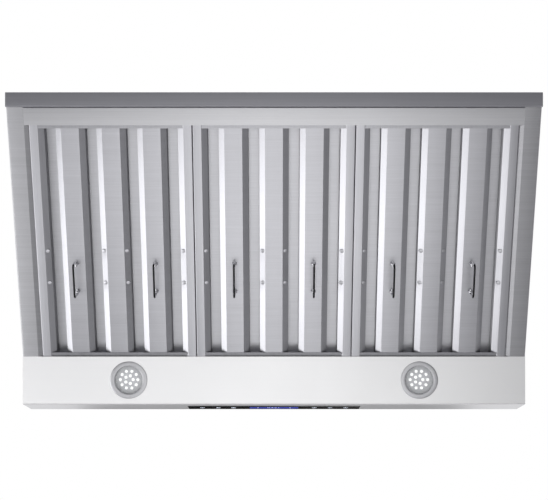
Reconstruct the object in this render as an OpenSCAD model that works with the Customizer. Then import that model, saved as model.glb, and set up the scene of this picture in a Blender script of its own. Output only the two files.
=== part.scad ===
/* [Canopy] */
// Width over the two side panels
hood_width = 914; // [860:1:1000]
// Depth from the wall to the lower edge of the front lip
hood_depth = 549; // [535:1:580]
// Height of the canopy above the lowest edge of the rear rail
canopy_height = 350; // [345:1:400]
// Depth of the flat top deck
deck_depth = 330; // [325:1:380]
// Upright height of the front lip
lip_height = 62; // [58:1:80]
// How far the front lip leans forward over its height
lip_lean = 19.5; // [10:0.5:25]
// Depth of the flat light panel behind the front lip
light_panel_depth = 86.7; // [84:0.1:95]
// Rise of the side rims from the rear rail to the light panel
side_rise = 109.5; // [90:0.5:115]
// Thickness of the canopy sheet
canopy_sheet = 1.2; // [0.8:0.1:1.5]
// Width of the rim along the bottom of each side panel
rim_width = 28.5; // [24:0.5:30]
// Height of the lip on the inner edge of each rim, up to the ledge beside the filters
rim_lip = 12; // [8:1:16]

/* [Rear rail and trough] */
// Depth of the rear rail
rail_depth = 25; // [20:1:30]
// Height of the rear rail
rail_height = 24; // [22:1:35]
// How far the rear rail reaches below the ends of the side rims
rail_drop = 4.8; // [2:0.2:6]
// Depth of the trough plate in front of the rear rail
trough_depth = 30; // [28:1:40]
// Height of the upright wall of the trough
trough_wall = 14; // [8:1:18]

/* [Filters] */
// Number of baffle filters side by side
filter_count = 3; // [3:1:3]
// Gap between the rim and the outer filter
filter_side_gap = 7.3; // [4:0.1:12]
// Gap between two filters
filter_gap = 1; // [0.6:0.1:2]
// Height of a filter frame
frame_height = 26; // [24:1:28]
// Thickness of the filter frame sheet
frame_sheet = 1; // [0.8:0.1:1.2]
// Width of the frame flanges that hold the baffle ends
frame_flange = 10; // [8:0.5:12]
// How far a filter lies on the trough plate
trough_overlap = 8; // [7:0.5:8.5]
// How far a filter lies on the edge of the light panel
panel_overlap = 2.5; // [2:0.1:3]
// How far a filter is pushed forward until its rear end drops free
filter_travel = 9.5; // [9:0.1:10]
// Full lower baffle channels in one filter
baffle_count = 3; // [3:1:4]
// Width of the flat of a lower baffle channel
baffle_flat = 30.8; // [26:0.2:32]
// Sideways reach of a slanted wall of a lower channel
baffle_run = 10; // [8:0.5:11]
// Height of a slanted wall of a lower channel
baffle_rise = 6; // [5:0.5:8]
// Sideways reach of a slanted wall of an upper channel
upper_run = 15; // [13:0.5:16]
// Height of a slanted wall of an upper channel
upper_rise = 14; // [12:0.5:15]
// Thickness of the baffle sheet
baffle_sheet = 1; // [0.8:0.1:1]

/* [Filter handles] */
// Distance from the front end of a filter to the middle of its handles
handle_setback = 152; // [120:1:200]
// Length of a wire handle between the middles of its legs
handle_length = 60; // [56:1:80]
// Reach of a wire handle below its pivot
handle_reach = 25.5; // [22:0.5:30]
// Radius of the handle wire
wire_radius = 1.75; // [1.5:0.05:2]
// Distance from the baffle face down to the handle pivot
pivot_drop = 4.5; // [4.5:0.1:6]
// Thickness of a handle lug
lug_thick = 3; // [2.5:0.5:4]
// Radius of the round end of a handle lug
lug_radius = 4; // [3.5:0.1:4.2]

/* [Lights] */
// Distance from the middle of the hood to a light
light_offset = 264.4; // [200:0.1:300]
// Distance from the front edge of the light panel back to the lights
light_setback = 44; // [40:0.5:46]
// Outer radius of the light trim
trim_radius = 34; // [33:0.5:36]
// Radius of the opening in the light trim
trim_opening = 25.5; // [24:0.5:26]
// Thickness of the light trim flange
trim_flange = 1.6; // [1:0.1:2.5]
// Height of the light trim barrel above the panel
trim_barrel = 12; // [10:0.5:14]
// Outer radius of the light trim barrel
barrel_radius = 29.6; // [29:0.1:30]
// Wall of the light trim barrel
barrel_wall = 1.2; // [1:0.1:1.5]
// Thickness of the light lens
lens_thick = 2; // [1.5:0.5:3]
// Thickness of the lamp board
lamp_board = 1.6; // [1.2:0.1:2]
// Radius of one lamp bead
bead_radius = 3; // [2:0.1:3.2]
// Height of one lamp bead
bead_height = 2; // [1:0.1:3]
// Beads on the outer ring
outer_beads = 10; // [8:1:12]
// Radius of the outer ring of beads
outer_bead_ring = 16; // [14:0.5:18]
// Beads on the inner ring
inner_beads = 5; // [3:1:5]
// Radius of the inner ring of beads
inner_bead_ring = 7.3; // [6.5:0.1:8]
// Height of the lamp can above its board
can_height = 20; // [15:1:30]

/* [Controls] */
// Width of the control glass
glass_width = 318; // [280:1:360]
// Height of the control glass
glass_height = 34; // [32:0.5:38]
// Height of the middle of the control glass up the face of the lip
glass_middle = 39; // [35:0.5:42]
// Thickness of the control glass
glass_thick = 2.2; // [2:0.1:3]
// Width of the flange of the control housing around the glass
housing_flange = 4; // [3:0.5:5]
// Depth of the control housing
housing_depth = 12; // [11:0.5:16]
// Wall of the control housing
housing_wall = 1.5; // [1:0.1:2]
// Width of the display module
display_width = 90; // [60:1:120]
// Height of the display module
display_height = 18; // [12:0.5:20]

/* [Blower] */
// Distance from the wall to the blower axis
blower_setback = 205; // [200:1:215]
// Distance from the top of the deck down to the blower axis
blower_drop = 133; // [131:0.5:136]
// Outer radius of the impeller
impeller_radius = 98; // [90:1:98]
// Inner radius of the impeller blades
blade_inner_radius = 82; // [76:1:84]
// Width of the impeller
impeller_width = 150; // [130:1:154]
// Number of blades
blade_count = 24; // [16:1:30]
// Thickness of a blade
blade_thick = 1.2; // [1:0.1:1.5]
// Inner width of the blower scroll
scroll_width = 170; // [164:1:176]
// Radius of the scroll where it starts
scroll_start = 104; // [102:0.5:105]
// Radius of the scroll where it meets the outlet
scroll_end = 146; // [140:1:148]
// Radius of the air inlets of the scroll
inlet_radius = 84; // [82:0.5:86]
// Distance from the blower axis to the near wall of the outlet
outlet_near = 25; // [20:1:30]
// Width of the flange around the outlet
outlet_flange = 12; // [10:0.5:14]
// Radius of the motor can
motor_radius = 52; // [45:1:58]
// Radius of the motor shaft
shaft_radius = 6; // [5:0.5:8]
// Radius of the hub of the impeller
hub_radius = 14; // [12:0.5:18]
// Length of the hub of the impeller
hub_length = 24; // [18:1:30]

/* [Duct collar and damper] */
// Outer radius of the duct collar
collar_radius = 100; // [98:0.5:101]
// Height of the duct collar
collar_height = 60; // [50:1:80]
// Wall of the duct collar
collar_wall = 1; // [0.8:0.1:1.2]
// Side of the square base of the duct collar
collar_base = 222; // [218:1:224]
// Height of the damper pivot above the deck
damper_height = 27.5; // [26:0.5:28.5]
// Radius of the damper pin
damper_pin_radius = 2; // [1.5:0.1:2]
// Thickness of a damper flap
flap_thick = 1; // [0.8:0.1:1.2]
// Gap between a damper flap and the collar
flap_gap = 2.5; // [2:0.1:4]

/* [Duct covers] */
// Width of the lower duct cover
cover_width = 304; // [302:1:340]
// Depth of the lower duct cover
cover_depth = 281; // [281:1:300]
// Height of the lower duct cover
lower_cover_height = 430; // [300:1:430]
// Height of the upper duct cover
upper_cover_height = 440; // [300:1:440]
// Height of the upper duct cover above the deck when pushed down
upper_cover_rise = 20; // [19.5:0.5:24]
// Thickness of the duct cover sheet
cover_sheet = 1; // [0.8:0.1:1.2]
// Width of the inturned rear edges of the duct covers
cover_return = 18; // [14:1:20]
// Number of vent slots on each side of the upper cover
vent_count = 6; // [4:1:8]
// Height of a vent slot
vent_height = 60; // [40:1:80]
// Width of a vent slot
vent_width = 8; // [6:0.5:10]

/* [Wall mount and wiring] */
// Height of the middle of the wall screw holes above the rear rail
mount_height = 250; // [240:1:260]
// Sideways distance between the wall screw holes
mount_width = 406; // [400:1:420]
// Upright distance between the wall screw holes
mount_rise = 120; // [100:1:140]
// Radius of the wall screw holes
mount_radius = 3.5; // [3:0.1:4]
// Distance between the screw holes of the ceiling bracket
bracket_holes = 200; // [180:1:210]
// Height of the ceiling bracket
bracket_height = 40; // [30:1:50]
// Length of the junction box and of the control box
box_length = 100; // [90:1:120]
// Depth of the junction box and of the control box
box_depth = 90; // [80:1:100]
// Height of the junction box and of the control box
box_height = 56; // [45:1:60]
// Radius of the supply cable hole in the gland
gland_bore = 5.5; // [4:0.5:6.5]
// Radius of the run capacitor
capacitor_radius = 17; // [15:0.5:18]
// Length of the run capacitor
capacitor_length = 60; // [50:1:66]
// Radius of an inner lead
lead_radius = 2.5; // [2:0.1:3]

/* [Fits] */
// Gap between pieces that rest on or beside each other
seat_gap = 0.3; // [0.2:0.05:0.4]
// Gap around a pin or shaft that turns
running_gap = 0.05; // [0.03:0.01:0.08]
// Gap between the two duct covers
slide_gap = 0.6; // [0.4:0.1:0.8]
// Radius of the screws
screw_radius = 2; // [1.5:0.1:2.2]
// Gap around a screw in its hole
screw_gap = 0.15; // [0.1:0.05:0.2]

/* [Hidden] */
$fn = 48;

// Heights, all measured from the middle of the wall screw holes
base_z = -mount_height;
rear_z = base_z + rail_drop;
panel_z = rear_z + side_rise;
deck_z = base_z + canopy_height;
deck_under = deck_z - canopy_sheet;
half_width = hood_width / 2;

// The filters and the side rims share one slope down to the rear rail
panel_rear = hood_depth - light_panel_depth;
slope_run = panel_rear - rail_depth;
slope = atan2(side_rise, slope_run);
slope_length = slope_run / cos(slope);
rim_upright = canopy_sheet / cos(slope);

// Outside of the bent canopy sheet, from the light panel round to the wall
outer = [
  [-panel_rear, panel_z],
  [-hood_depth, panel_z],
  [-(hood_depth + lip_lean), panel_z + lip_height],
  [-deck_depth, deck_z],
  [0, deck_z]
];
inner = shifted(outer, -canopy_sheet);
lip_angle = atan2(lip_lean, lip_height);

// Filters
filter_pitch = (hood_width - 2 * rim_width - 2 * filter_side_gap) / filter_count;
filter_half = (filter_pitch - filter_gap) / 2;
baffle_pitch = filter_pitch / (baffle_count + 1);
upper_flat = baffle_pitch - baffle_flat - 2 * baffle_run;
filter_rear = trough_depth / cos(slope) - trough_overlap;
filter_front = slope_length + canopy_sheet * sin(slope) + panel_overlap;
lower_face = frame_sheet + seat_gap;
upper_face = frame_height - frame_sheet - seat_gap;
handle_v = filter_front - handle_setback;
handle_top_bend = 3;
handle_low_bend = 6;
handle_pin_length = 9;

// Lights
light_y = -(hood_depth - light_setback);
lens_z = 1.5;
board_z = lens_z + lens_thick + seat_gap + bead_height + seat_gap;

// Blower
blower_y = -blower_setback;
blower_z = deck_z - blower_drop;
scroll_half = scroll_width / 2;
outlet_y = [blower_y + outlet_near, blower_y + scroll_end];
duct_y = (outlet_y[0] + outlet_y[1]) / 2;
cutoff_angle = 8;
cutoff_rise = 14;
turn_steps = 30;
scroll_path = concat(
  [[outlet_y[0], deck_under], [outlet_y[0], blower_z + scroll_start + cutoff_rise]],
  [for (i = [0:turn_steps])
    let(turn = cutoff_angle + (270 - cutoff_angle) * i / turn_steps,
        r = scroll_start + (scroll_end - scroll_start) * i / turn_steps)
    [blower_y - r * sin(turn), blower_z + r * cos(turn)]],
  [[outlet_y[1], deck_under]]
);
motor_gap = 6;
spider_thick = 2;
spider_x = -(scroll_half + canopy_sheet);
spider_arm_reach = inlet_radius + 14;
spider_arm_width = 16;
spider_hub = 40;

// Screw places
collar_corner = collar_base / 2 - 10;
collar_spots = [for (x = [-1, 1], y = [-1, 1]) [x * collar_corner, duct_y + y * collar_corner]];
flange_corner = [scroll_half + canopy_sheet + outlet_flange / 2, 58];
flange_spots = [for (x = [-1, 1], y = [-1, 1])
  [x * flange_corner[0], duct_y + y * flange_corner[1]]];
foot_z = deck_z + 9;
foot_size = 18;
foot_length = 40;

// Damper
damper_z = deck_z + damper_height;
flap_radius = collar_radius - collar_wall - flap_gap;
flap_start = 5;
knuckle_radius = 3.4;
front_knuckle = [55, 85];
rear_knuckle = [20, 50];

// Duct covers
cover_half = cover_width / 2;
upper_inset = cover_sheet + slide_gap;
upper_half = cover_half - upper_inset;
upper_bottom = deck_z + upper_cover_rise;
upper_top = upper_bottom + upper_cover_height;
bracket_sheet = 1.5;
bracket_plate_half = 125;
bracket_step = 25;
bracket_tab_end = 60;
bracket_z = upper_top - bracket_height - 5;
bracket_screw_y = -45;

// Boxes under the deck
gland_thread = 9;
gland_collar = 13;
gland_spot = [128, 2 * gland_collar - cover_depth];
foot_spots = [-60, gland_spot[1] + gland_collar + foot_length / 2 + 2];
box_near = 112;
box_y = gland_spot[1] - box_depth / 2;
box_wall = 1.2;
control_box_near = 112;
board_lift = 6;

function unit(v) = v / norm(v);
function left_of(v) = [-v[1], v[0]];
// A bent line moved sideways by t, with mitred corners
function shifted(path, t) = [
  for (i = [0:len(path) - 1])
    let(before = unit(path[max(i, 1)] - path[max(i, 1) - 1]),
        after = unit(path[min(i, len(path) - 2) + 1] - path[min(i, len(path) - 2)]),
        a = left_of(before),
        b = left_of(after))
    path[i] + (a + b) * t / (1 + a * b)
];
function reversed(list) = [for (i = [len(list) - 1:-1:0]) list[i]];
// Section of a sheet of thickness t bent along a line
function folded(path, t) = concat(path, reversed(shifted(path, t)));

// A section drawn in depth and height, carried sideways
module across(points, from_x, to_x) {
  translate([from_x, 0, 0]) rotate([90, 0, 90]) linear_extrude(to_x - from_x) polygon(points);
}

// A section drawn in width and height, carried along the slope
module along_slope(points, from_v, to_v) {
  translate([0, to_v, 0]) rotate([90, 0, 0]) linear_extrude(to_v - from_v) polygon(points);
}

// Frame of the slope: Y runs forward and up along it, Z stands square to it
module on_slope() {
  translate([0, -rail_depth, rear_z]) rotate([slope, 0, 180]) children();
}

module on_filter(place) {
  on_slope() translate([-place * filter_pitch, 0, canopy_sheet + seat_gap]) children();
}

// Frame of the front lip: Z runs up its face, Y points into the hood
module on_lip() {
  translate([0, -hood_depth, panel_z]) rotate([lip_angle, 0, 0]) children();
}

module screw_hole(length) {
  cylinder(r = screw_radius + screw_gap, h = length, center = true);
}

// Pan head screw, its head on the plane z = 0 and its shank below
module screw(length) {
  translate([0, 0, -length]) cylinder(r = screw_radius, h = length);
  cylinder(r1 = screw_radius * 2, r2 = screw_radius * 1.5, h = screw_radius * 1.1);
}

// Plate with a rim folded inwards, a lip up from the rim and a ledge that closes the gap to the filter
module side_panel() {
  slope_line = [[-rail_depth, rear_z], [-panel_rear, panel_z]];
  wall = concat(inner, [[0, base_z + rail_height], [-rail_depth, base_z + rail_height]], slope_line);
  rim_edge = half_width - rim_width;
  ledge_rise = rim_lip - rim_upright;
  ledge_line = [
    [-(rail_depth + trough_depth), rear_z + trough_depth * tan(slope) + ledge_rise],
    [-panel_rear, panel_z + ledge_rise]
  ];
  color("silver") union() {
    across(wall, half_width - canopy_sheet, half_width);
    across(raised(slope_line, rim_upright), rim_edge, half_width - canopy_sheet / 2);
    across(raised(slope_line, rim_lip), rim_edge, rim_edge + canopy_sheet);
    across(raised(ledge_line, rim_upright), rim_edge - filter_side_gap + seat_gap, rim_edge + canopy_sheet / 2);
  }
}

// Band of upright height h standing on a line
function raised(line, h) = [line[0], line[1], line[1] + [0, h], line[0] + [0, h]];

module left_side_panel() {
  mirror([1, 0, 0]) side_panel();
}

module right_side_panel() {
  side_panel();
}

// One flat of the bent canopy sheet, over the whole width
module canopy_flat(i) {
  across([outer[i], outer[i + 1], inner[i + 1], inner[i]], -half_width, half_width);
}

module light_panel() {
  color("gainsboro") difference() {
    canopy_flat(0);
    for (x = [-light_offset, light_offset])
      translate([x, light_y, panel_z]) cylinder(r = barrel_radius + seat_gap, h = 10, center = true);
  }
}

module front_lip() {
  cut = [glass_width + 2 * seat_gap, 20, glass_height + 2 * seat_gap];
  color("silver") difference() {
    canopy_flat(1);
    on_lip() translate([0, 0, glass_middle]) cube(cut, center = true);
  }
}

module front_slope_panel() {
  color("silver") canopy_flat(2);
}

module top_deck() {
  color("silver") difference() {
    canopy_flat(3);
    translate([-scroll_half, outlet_y[0], deck_under - 5])
      cube([scroll_width, outlet_y[1] - outlet_y[0], 10]);
    for (spot = concat(collar_spots, flange_spots))
      translate([spot[0], spot[1], deck_z]) screw_hole(10);
    translate([gland_spot[0], gland_spot[1], deck_z])
      cylinder(r = gland_thread + screw_gap, h = 10, center = true);
  }
}

module back_panel() {
  color("silver") difference() {
    translate([-half_width + canopy_sheet, -canopy_sheet, base_z + rail_height])
      cube([hood_width - 2 * canopy_sheet, canopy_sheet, canopy_height - canopy_sheet - rail_height]);
    for (x = [-1, 1], z = [-1, 1])
      translate([x * mount_width / 2, 0, z * mount_rise / 2])
        rotate([90, 0, 0]) cylinder(r = mount_radius, h = 10, center = true);
  }
}

module rear_rail() {
  low = [[-rail_depth, base_z + rail_height], [-rail_depth, base_z], [0, base_z], [0, base_z + rail_height]];
  color("gray") union() {
    across(folded(low, canopy_sheet), -half_width, half_width);
    for (side = [-1, 1])
      scale([side, 1, 1]) across(low, half_width - canopy_sheet, half_width);
  }
}

module rear_trough() {
  half = half_width - rim_width - seat_gap;
  tip = [-(rail_depth + trough_depth), rear_z + trough_depth * tan(slope)];
  color("darkgray") union() {
    across(raised([[-rail_depth, rear_z], tip], rim_upright), -half, half);
    across(raised([[-rail_depth, rear_z], [-rail_depth - canopy_sheet, rear_z + canopy_sheet * tan(slope)]],
      trough_wall), -half, half);
  }
}

// Four rails folded from sheet and welded at their corners
module filter_frame(place) {
  rear_path = [[filter_rear + frame_flange, 0], [filter_rear, 0],
    [filter_rear, frame_height], [filter_rear + frame_flange, frame_height]];
  front_path = [[filter_front - frame_flange, 0], [filter_front, 0],
    [filter_front, frame_height], [filter_front - frame_flange, frame_height]];
  foot = filter_pitch / 2 - baffle_flat / 2;
  side_path = [[foot - baffle_run, baffle_rise], [foot, 0], [filter_half, 0],
    [filter_half, frame_height], [filter_half - frame_flange, frame_height]];
  color("silver") on_filter(place) union() {
    across(folded(rear_path, -frame_sheet), -filter_half, filter_half);
    across(folded(front_path, frame_sheet), -filter_half, filter_half);
    for (side = [0, 1])
      mirror([side, 0, 0]) along_slope(folded(side_path, frame_sheet),
        filter_rear + frame_sheet / 2, filter_front - frame_sheet / 2);
  }
}

// Open channel with flared walls, its flat on the plane z = 0
module baffle_channel(half, run, rise) {
  path = [[-half - run, rise], [-half, 0], [half, 0], [half + run, rise]];
  along_slope(folded(path, baffle_sheet), filter_rear + frame_sheet + seat_gap,
    filter_front - frame_sheet - seat_gap);
}

// Lug under a baffle face with the eye of a handle in it
module handle_lug() {
  difference() {
    union() {
      translate([-lug_radius, -lug_thick / 2, -pivot_drop]) cube([2 * lug_radius, lug_thick, pivot_drop]);
      translate([0, 0, -pivot_drop]) rotate([90, 0, 0])
        cylinder(r = lug_radius, h = lug_thick, center = true);
    }
    translate([0, 0, -pivot_drop]) rotate([90, 0, 0])
      cylinder(r = wire_radius + running_gap, h = 3 * lug_thick, center = true);
  }
}

module lower_baffles(place) {
  lug_v = handle_length / 2 - handle_pin_length / 2;
  color("lightgray") on_filter(place) translate([0, 0, lower_face]) union() {
    for (i = [0:baffle_count - 1])
      translate([(i - (baffle_count - 1) / 2) * baffle_pitch, 0, 0])
        baffle_channel(baffle_flat / 2, baffle_run, baffle_rise);
    for (side = [-1, 1], end = [-1, 1])
      translate([side * baffle_pitch, handle_v + end * lug_v, 0]) handle_lug();
  }
}

module upper_baffles(place) {
  color("darkgray") on_filter(place) translate([0, 0, upper_face])
    for (i = [0:baffle_count])
      translate([(i - baffle_count / 2) * baffle_pitch, 0, 0])
        mirror([0, 0, 1]) baffle_channel(upper_flat / 2, upper_run, upper_rise);
}

module straight_wire(length) {
  rotate([0, 90, 0]) cylinder(r = wire_radius, h = length);
}

module bent_wire(radius) {
  rotate_extrude(angle = 90) translate([radius, 0]) circle(r = wire_radius);
}

// Half of a wire handle: pin, leg and half of the grip, drawn in X and Y
module half_handle() {
  half = handle_length / 2;
  translate([half - handle_pin_length, 0, 0]) straight_wire(handle_pin_length - handle_top_bend);
  translate([half - handle_top_bend, -handle_top_bend, 0]) bent_wire(handle_top_bend);
  translate([half, -handle_top_bend, 0]) rotate([0, 0, -90])
    straight_wire(handle_reach - handle_top_bend - handle_low_bend);
  translate([half - handle_low_bend, handle_low_bend - handle_reach, 0])
    rotate([0, 0, -90]) bent_wire(handle_low_bend);
  translate([0, -handle_reach, 0]) straight_wire(half - handle_low_bend);
}

// side is -1 for the left handle of a filter and 1 for its right handle
module filter_handle(place, side) {
  color("dimgray") on_filter(place)
    translate([-side * baffle_pitch, handle_v, lower_face - pivot_drop]) rotate([90, 0, 90]) union() {
      half_handle();
      mirror([1, 0, 0]) half_handle();
    }
}

module at_light(side) {
  translate([side * light_offset, light_y, panel_z]) children();
}

module light_trim(side) {
  ledge = lens_z - seat_gap;
  color("gray") at_light(side) rotate_extrude() polygon([
    [trim_opening, -trim_flange / 2], [trim_opening + 1, -trim_flange],
    [trim_radius - 1, -trim_flange], [trim_radius, -trim_flange / 2], [trim_radius, 0],
    [barrel_radius, 0], [barrel_radius, trim_barrel],
    [barrel_radius - barrel_wall, trim_barrel], [barrel_radius - barrel_wall, ledge],
    [trim_opening, ledge]
  ]);
}

module light_lens(side) {
  color("white") at_light(side) translate([0, 0, lens_z])
    cylinder(r = barrel_radius - barrel_wall - seat_gap, h = lens_thick);
}

module lamp_board(side) {
  color("white") at_light(side) {
    translate([0, 0, board_z])
      cylinder(r = barrel_radius - barrel_wall - seat_gap, h = lamp_board);
    translate([0, 0, board_z - bead_height]) {
      bead_ring(outer_beads, outer_bead_ring);
      bead_ring(inner_beads, inner_bead_ring);
    }
    translate([0, 0, lens_z + lens_thick]) lens_spacer();
  }
}

// Ring that holds the board off the lens
module lens_spacer() {
  outside = barrel_radius - barrel_wall - seat_gap;
  difference() {
    cylinder(r = outside, h = board_z - lens_z - lens_thick);
    translate([0, 0, -1]) cylinder(r = outside - 1.5, h = board_z);
  }
}

module bead_ring(count, ring) {
  for (i = [0:count - 1])
    rotate([0, 0, 90 + 360 * i / count]) translate([ring, 0, 0])
      cylinder(r = bead_radius, h = bead_height + lamp_board / 2, $fn = 24);
}

module lamp_can(side) {
  outside = barrel_radius - barrel_wall - seat_gap;
  color("darkgray") at_light(side) translate([0, 0, board_z + lamp_board]) difference() {
    cylinder(r = outside, h = can_height);
    translate([0, 0, -1]) cylinder(r = outside - barrel_wall, h = can_height + 1 - barrel_wall);
  }
}

module control_glass() {
  color("black") on_lip()
    translate([-glass_width / 2, canopy_sheet - glass_thick, glass_middle - glass_height / 2])
      cube([glass_width, glass_thick, glass_height]);
}

// Tray behind the lip, open to the glass, with four posts for the board
module control_housing() {
  wide = glass_width + 2 * housing_flange;
  high = glass_height + 2 * housing_flange;
  open_wide = glass_width - 2 * housing_flange;
  open_high = glass_height - 2 * housing_flange;
  color("darkslategray") on_lip() translate([0, canopy_sheet, glass_middle]) {
    difference() {
      union() {
        translate([-wide / 2, 0, -high / 2]) cube([wide, housing_wall, high]);
        translate([-open_wide / 2 - housing_wall, 0, -open_high / 2 - housing_wall])
          cube([open_wide + 2 * housing_wall, housing_depth, open_high + 2 * housing_wall]);
      }
      translate([-open_wide / 2, -1, -open_high / 2])
        cube([open_wide, housing_depth + 1 - housing_wall, open_high]);
    }
    for (x = [-1, 1], z = [-1, 1])
      translate([x * (open_wide / 2 - 6), board_lift + lamp_board, z * (open_high / 2 - 6)])
        rotate([-90, 0, 0]) cylinder(r = 3, h = housing_depth - board_lift - lamp_board - housing_wall / 2);
  }
}

module touch_board() {
  wide = glass_width - 2 * housing_flange - 2 * seat_gap;
  high = glass_height - 2 * housing_flange - 2 * seat_gap;
  color("darkgreen") on_lip() translate([0, canopy_sheet, glass_middle]) {
    translate([-wide / 2, board_lift, -high / 2]) cube([wide, lamp_board, high]);
    translate([-display_width / 2, seat_gap, -display_height / 2])
      cube([display_width, board_lift + lamp_board / 2, display_height]);
  }
}

module at_blower() {
  translate([0, blower_y, blower_z]) rotate([0, 90, 0]) children();
}

// Spiral housing with an inlet in each side plate and a flanged outlet on top
module blower_scroll() {
  outline = shifted(scroll_path, -canopy_sheet);
  side_x = scroll_half + canopy_sheet;
  color("lightslategray") difference() {
    union() {
      across(folded(scroll_path, -canopy_sheet), -scroll_half, scroll_half);
      for (side = [0, 1])
        mirror([side, 0, 0]) across(outline, scroll_half, side_x);
      translate([-side_x - outlet_flange, outlet_y[0] - canopy_sheet - outlet_flange, deck_under - canopy_sheet])
        cube([2 * (side_x + outlet_flange),
          outlet_y[1] - outlet_y[0] + 2 * (canopy_sheet + outlet_flange), canopy_sheet]);
      at_blower() for (side = [0, 1])
        mirror([0, 0, side]) translate([0, 0, scroll_half - 6])
          cylinder(r = inlet_radius + canopy_sheet, h = 6 + canopy_sheet / 2);
    }
    at_blower() cylinder(r = inlet_radius, h = 2 * scroll_width, center = true);
    translate([-scroll_half, outlet_y[0], deck_under - 5])
      cube([scroll_width, outlet_y[1] - outlet_y[0], 10]);
    for (spot = flange_spots)
      translate([spot[0], spot[1], deck_under]) screw_hole(10);
    at_blower() for (i = [0:2])
      rotate([0, 0, 60 + 120 * i]) translate([spider_arm_reach - 5, 0, -side_x]) screw_hole(10);
  }
}

// Section of one forward curved blade
module blade_section() {
  steps = 4;
  middle = [for (k = [0:steps])
    let(r = blade_inner_radius + (impeller_radius - 1 - blade_inner_radius) * k / steps,
        a = 10 * pow(k / steps, 2))
    [r * cos(a), r * sin(a)]];
  polygon(folded(middle, blade_thick));
}

module impeller() {
  ring = 3;
  color("gray") at_blower() difference() {
    union() {
      translate([0, 0, -impeller_width / 2])
        for (i = [0:blade_count - 1])
          rotate([0, 0, 360 * i / blade_count]) linear_extrude(impeller_width) blade_section();
      cylinder(r = impeller_radius - 0.5, h = 1.5);
      cylinder(r = hub_radius, h = hub_length);
      for (z = [-impeller_width / 2, impeller_width / 2 - ring])
        translate([0, 0, z]) difference() {
          cylinder(r = impeller_radius, h = ring);
          translate([0, 0, -1]) cylinder(r = impeller_radius - 8, h = ring + 2);
        }
    }
    cylinder(r = shaft_radius, h = 4 * hub_length, center = true);
  }
}

// Can motor with the bearing of its shaft in the end that faces the hub
module motor_body() {
  far = spider_x;
  near = -motor_gap;
  edge = 6;
  bore = shaft_radius + running_gap;
  color("dimgray") at_blower() rotate_extrude() polygon([
    [0, far], [motor_radius - edge, far], [motor_radius, far + edge],
    [motor_radius, near - 3 * edge], [motor_radius - edge, near - 2 * edge],
    [hub_radius, near - edge], [hub_radius, near], [bore, near], [bore, far + 2 * edge], [0, far + 2 * edge]
  ]);
}

module motor_shaft() {
  far = spider_x + 12 + seat_gap;
  color("lightgray") at_blower() translate([0, 0, far]) cylinder(r = shaft_radius, h = hub_length + 4 - far);
}

// Spider over the left inlet that carries the motor
module motor_bracket() {
  color("slategray") at_blower() translate([0, 0, spider_x - spider_thick]) difference() {
    union() {
      cylinder(r = spider_hub, h = spider_thick);
      for (i = [0:2])
        rotate([0, 0, 60 + 120 * i]) translate([0, -spider_arm_width / 2, 0])
          cube([spider_arm_reach + 4, spider_arm_width, spider_thick]);
    }
    for (i = [0:2])
      rotate([0, 0, 60 + 120 * i]) translate([spider_arm_reach - 5, 0, 0]) screw_hole(10);
  }
}

module blower_screws() {
  color("silver") {
    for (spot = collar_spots)
      translate([spot[0], spot[1], deck_z + canopy_sheet]) screw(6);
    for (spot = flange_spots)
      translate([spot[0], spot[1], deck_under - canopy_sheet]) mirror([0, 0, 1]) screw(5);
    at_blower() for (i = [0:2])
      rotate([0, 0, 60 + 120 * i]) translate([spider_arm_reach - 5, 0, spider_x - spider_thick])
        mirror([0, 0, 1]) screw(6);
  }
}

// Round collar on a square base, with two arc ledges that stop the flaps
module duct_collar() {
  inside = collar_radius - collar_wall;
  color("silver") translate([0, duct_y, deck_z]) {
    difference() {
      union() {
        translate([-collar_base / 2, -collar_base / 2, 0]) cube([collar_base, collar_base, canopy_sheet]);
        cylinder(r = collar_radius, h = collar_height, $fn = 96);
      }
      translate([0, 0, -1]) cylinder(r = inside, h = collar_height + 2, $fn = 96);
      for (spot = concat(collar_spots, flange_spots))
        translate([spot[0], spot[1] - duct_y, 0]) screw_hole(10);
      translate([0, 0, damper_height]) rotate([0, 90, 0])
        cylinder(r = damper_pin_radius, h = 3 * collar_radius, center = true);
    }
    for (turn = [40, 220])
      rotate([0, 0, turn]) translate([0, 0, damper_height - flap_thick / 2 - seat_gap - 2])
        rotate_extrude(angle = 100, $fn = 96)
          translate([inside - 5, 0]) square([5 + collar_wall / 2, 2]);
  }
}

module damper_pin() {
  color("gray") translate([0, duct_y, damper_z]) rotate([0, 90, 0])
    cylinder(r = damper_pin_radius, h = 2 * collar_radius - 0.2, center = true);
}

// Half round flap with rolled knuckles, lying to the rear of its pin
module damper_flap(knuckle) {
  difference() {
    union() {
      intersection() {
        translate([0, 0, -flap_thick / 2]) cylinder(r = flap_radius, h = flap_thick, $fn = 96);
        translate([-collar_radius, flap_start, -collar_radius])
          cube([2 * collar_radius, collar_radius, 2 * collar_radius]);
      }
      for (side = [0, 1])
        mirror([side, 0, 0]) translate([knuckle[0], 0, 0]) {
          rotate([0, 90, 0]) cylinder(r = knuckle_radius, h = knuckle[1] - knuckle[0]);
          translate([0, 0, -flap_thick / 2]) cube([knuckle[1] - knuckle[0], flap_start + 1, flap_thick]);
        }
    }
    rotate([0, 90, 0])
      cylinder(r = damper_pin_radius + running_gap, h = 3 * collar_radius, center = true);
  }
}

module front_damper_flap() {
  color("lightsteelblue") translate([0, duct_y, damper_z]) rotate([0, 0, 180]) damper_flap(front_knuckle);
}

module rear_damper_flap() {
  color("lightsteelblue") translate([0, duct_y, damper_z]) damper_flap(rear_knuckle);
}

// Three sided cover with inturned rear edges, seen from above
function cover_path(half, rear, front) = [
  [-half + cover_return, rear], [-half, rear], [-half, front],
  [half, front], [half, rear], [half - cover_return, rear]
];

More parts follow.
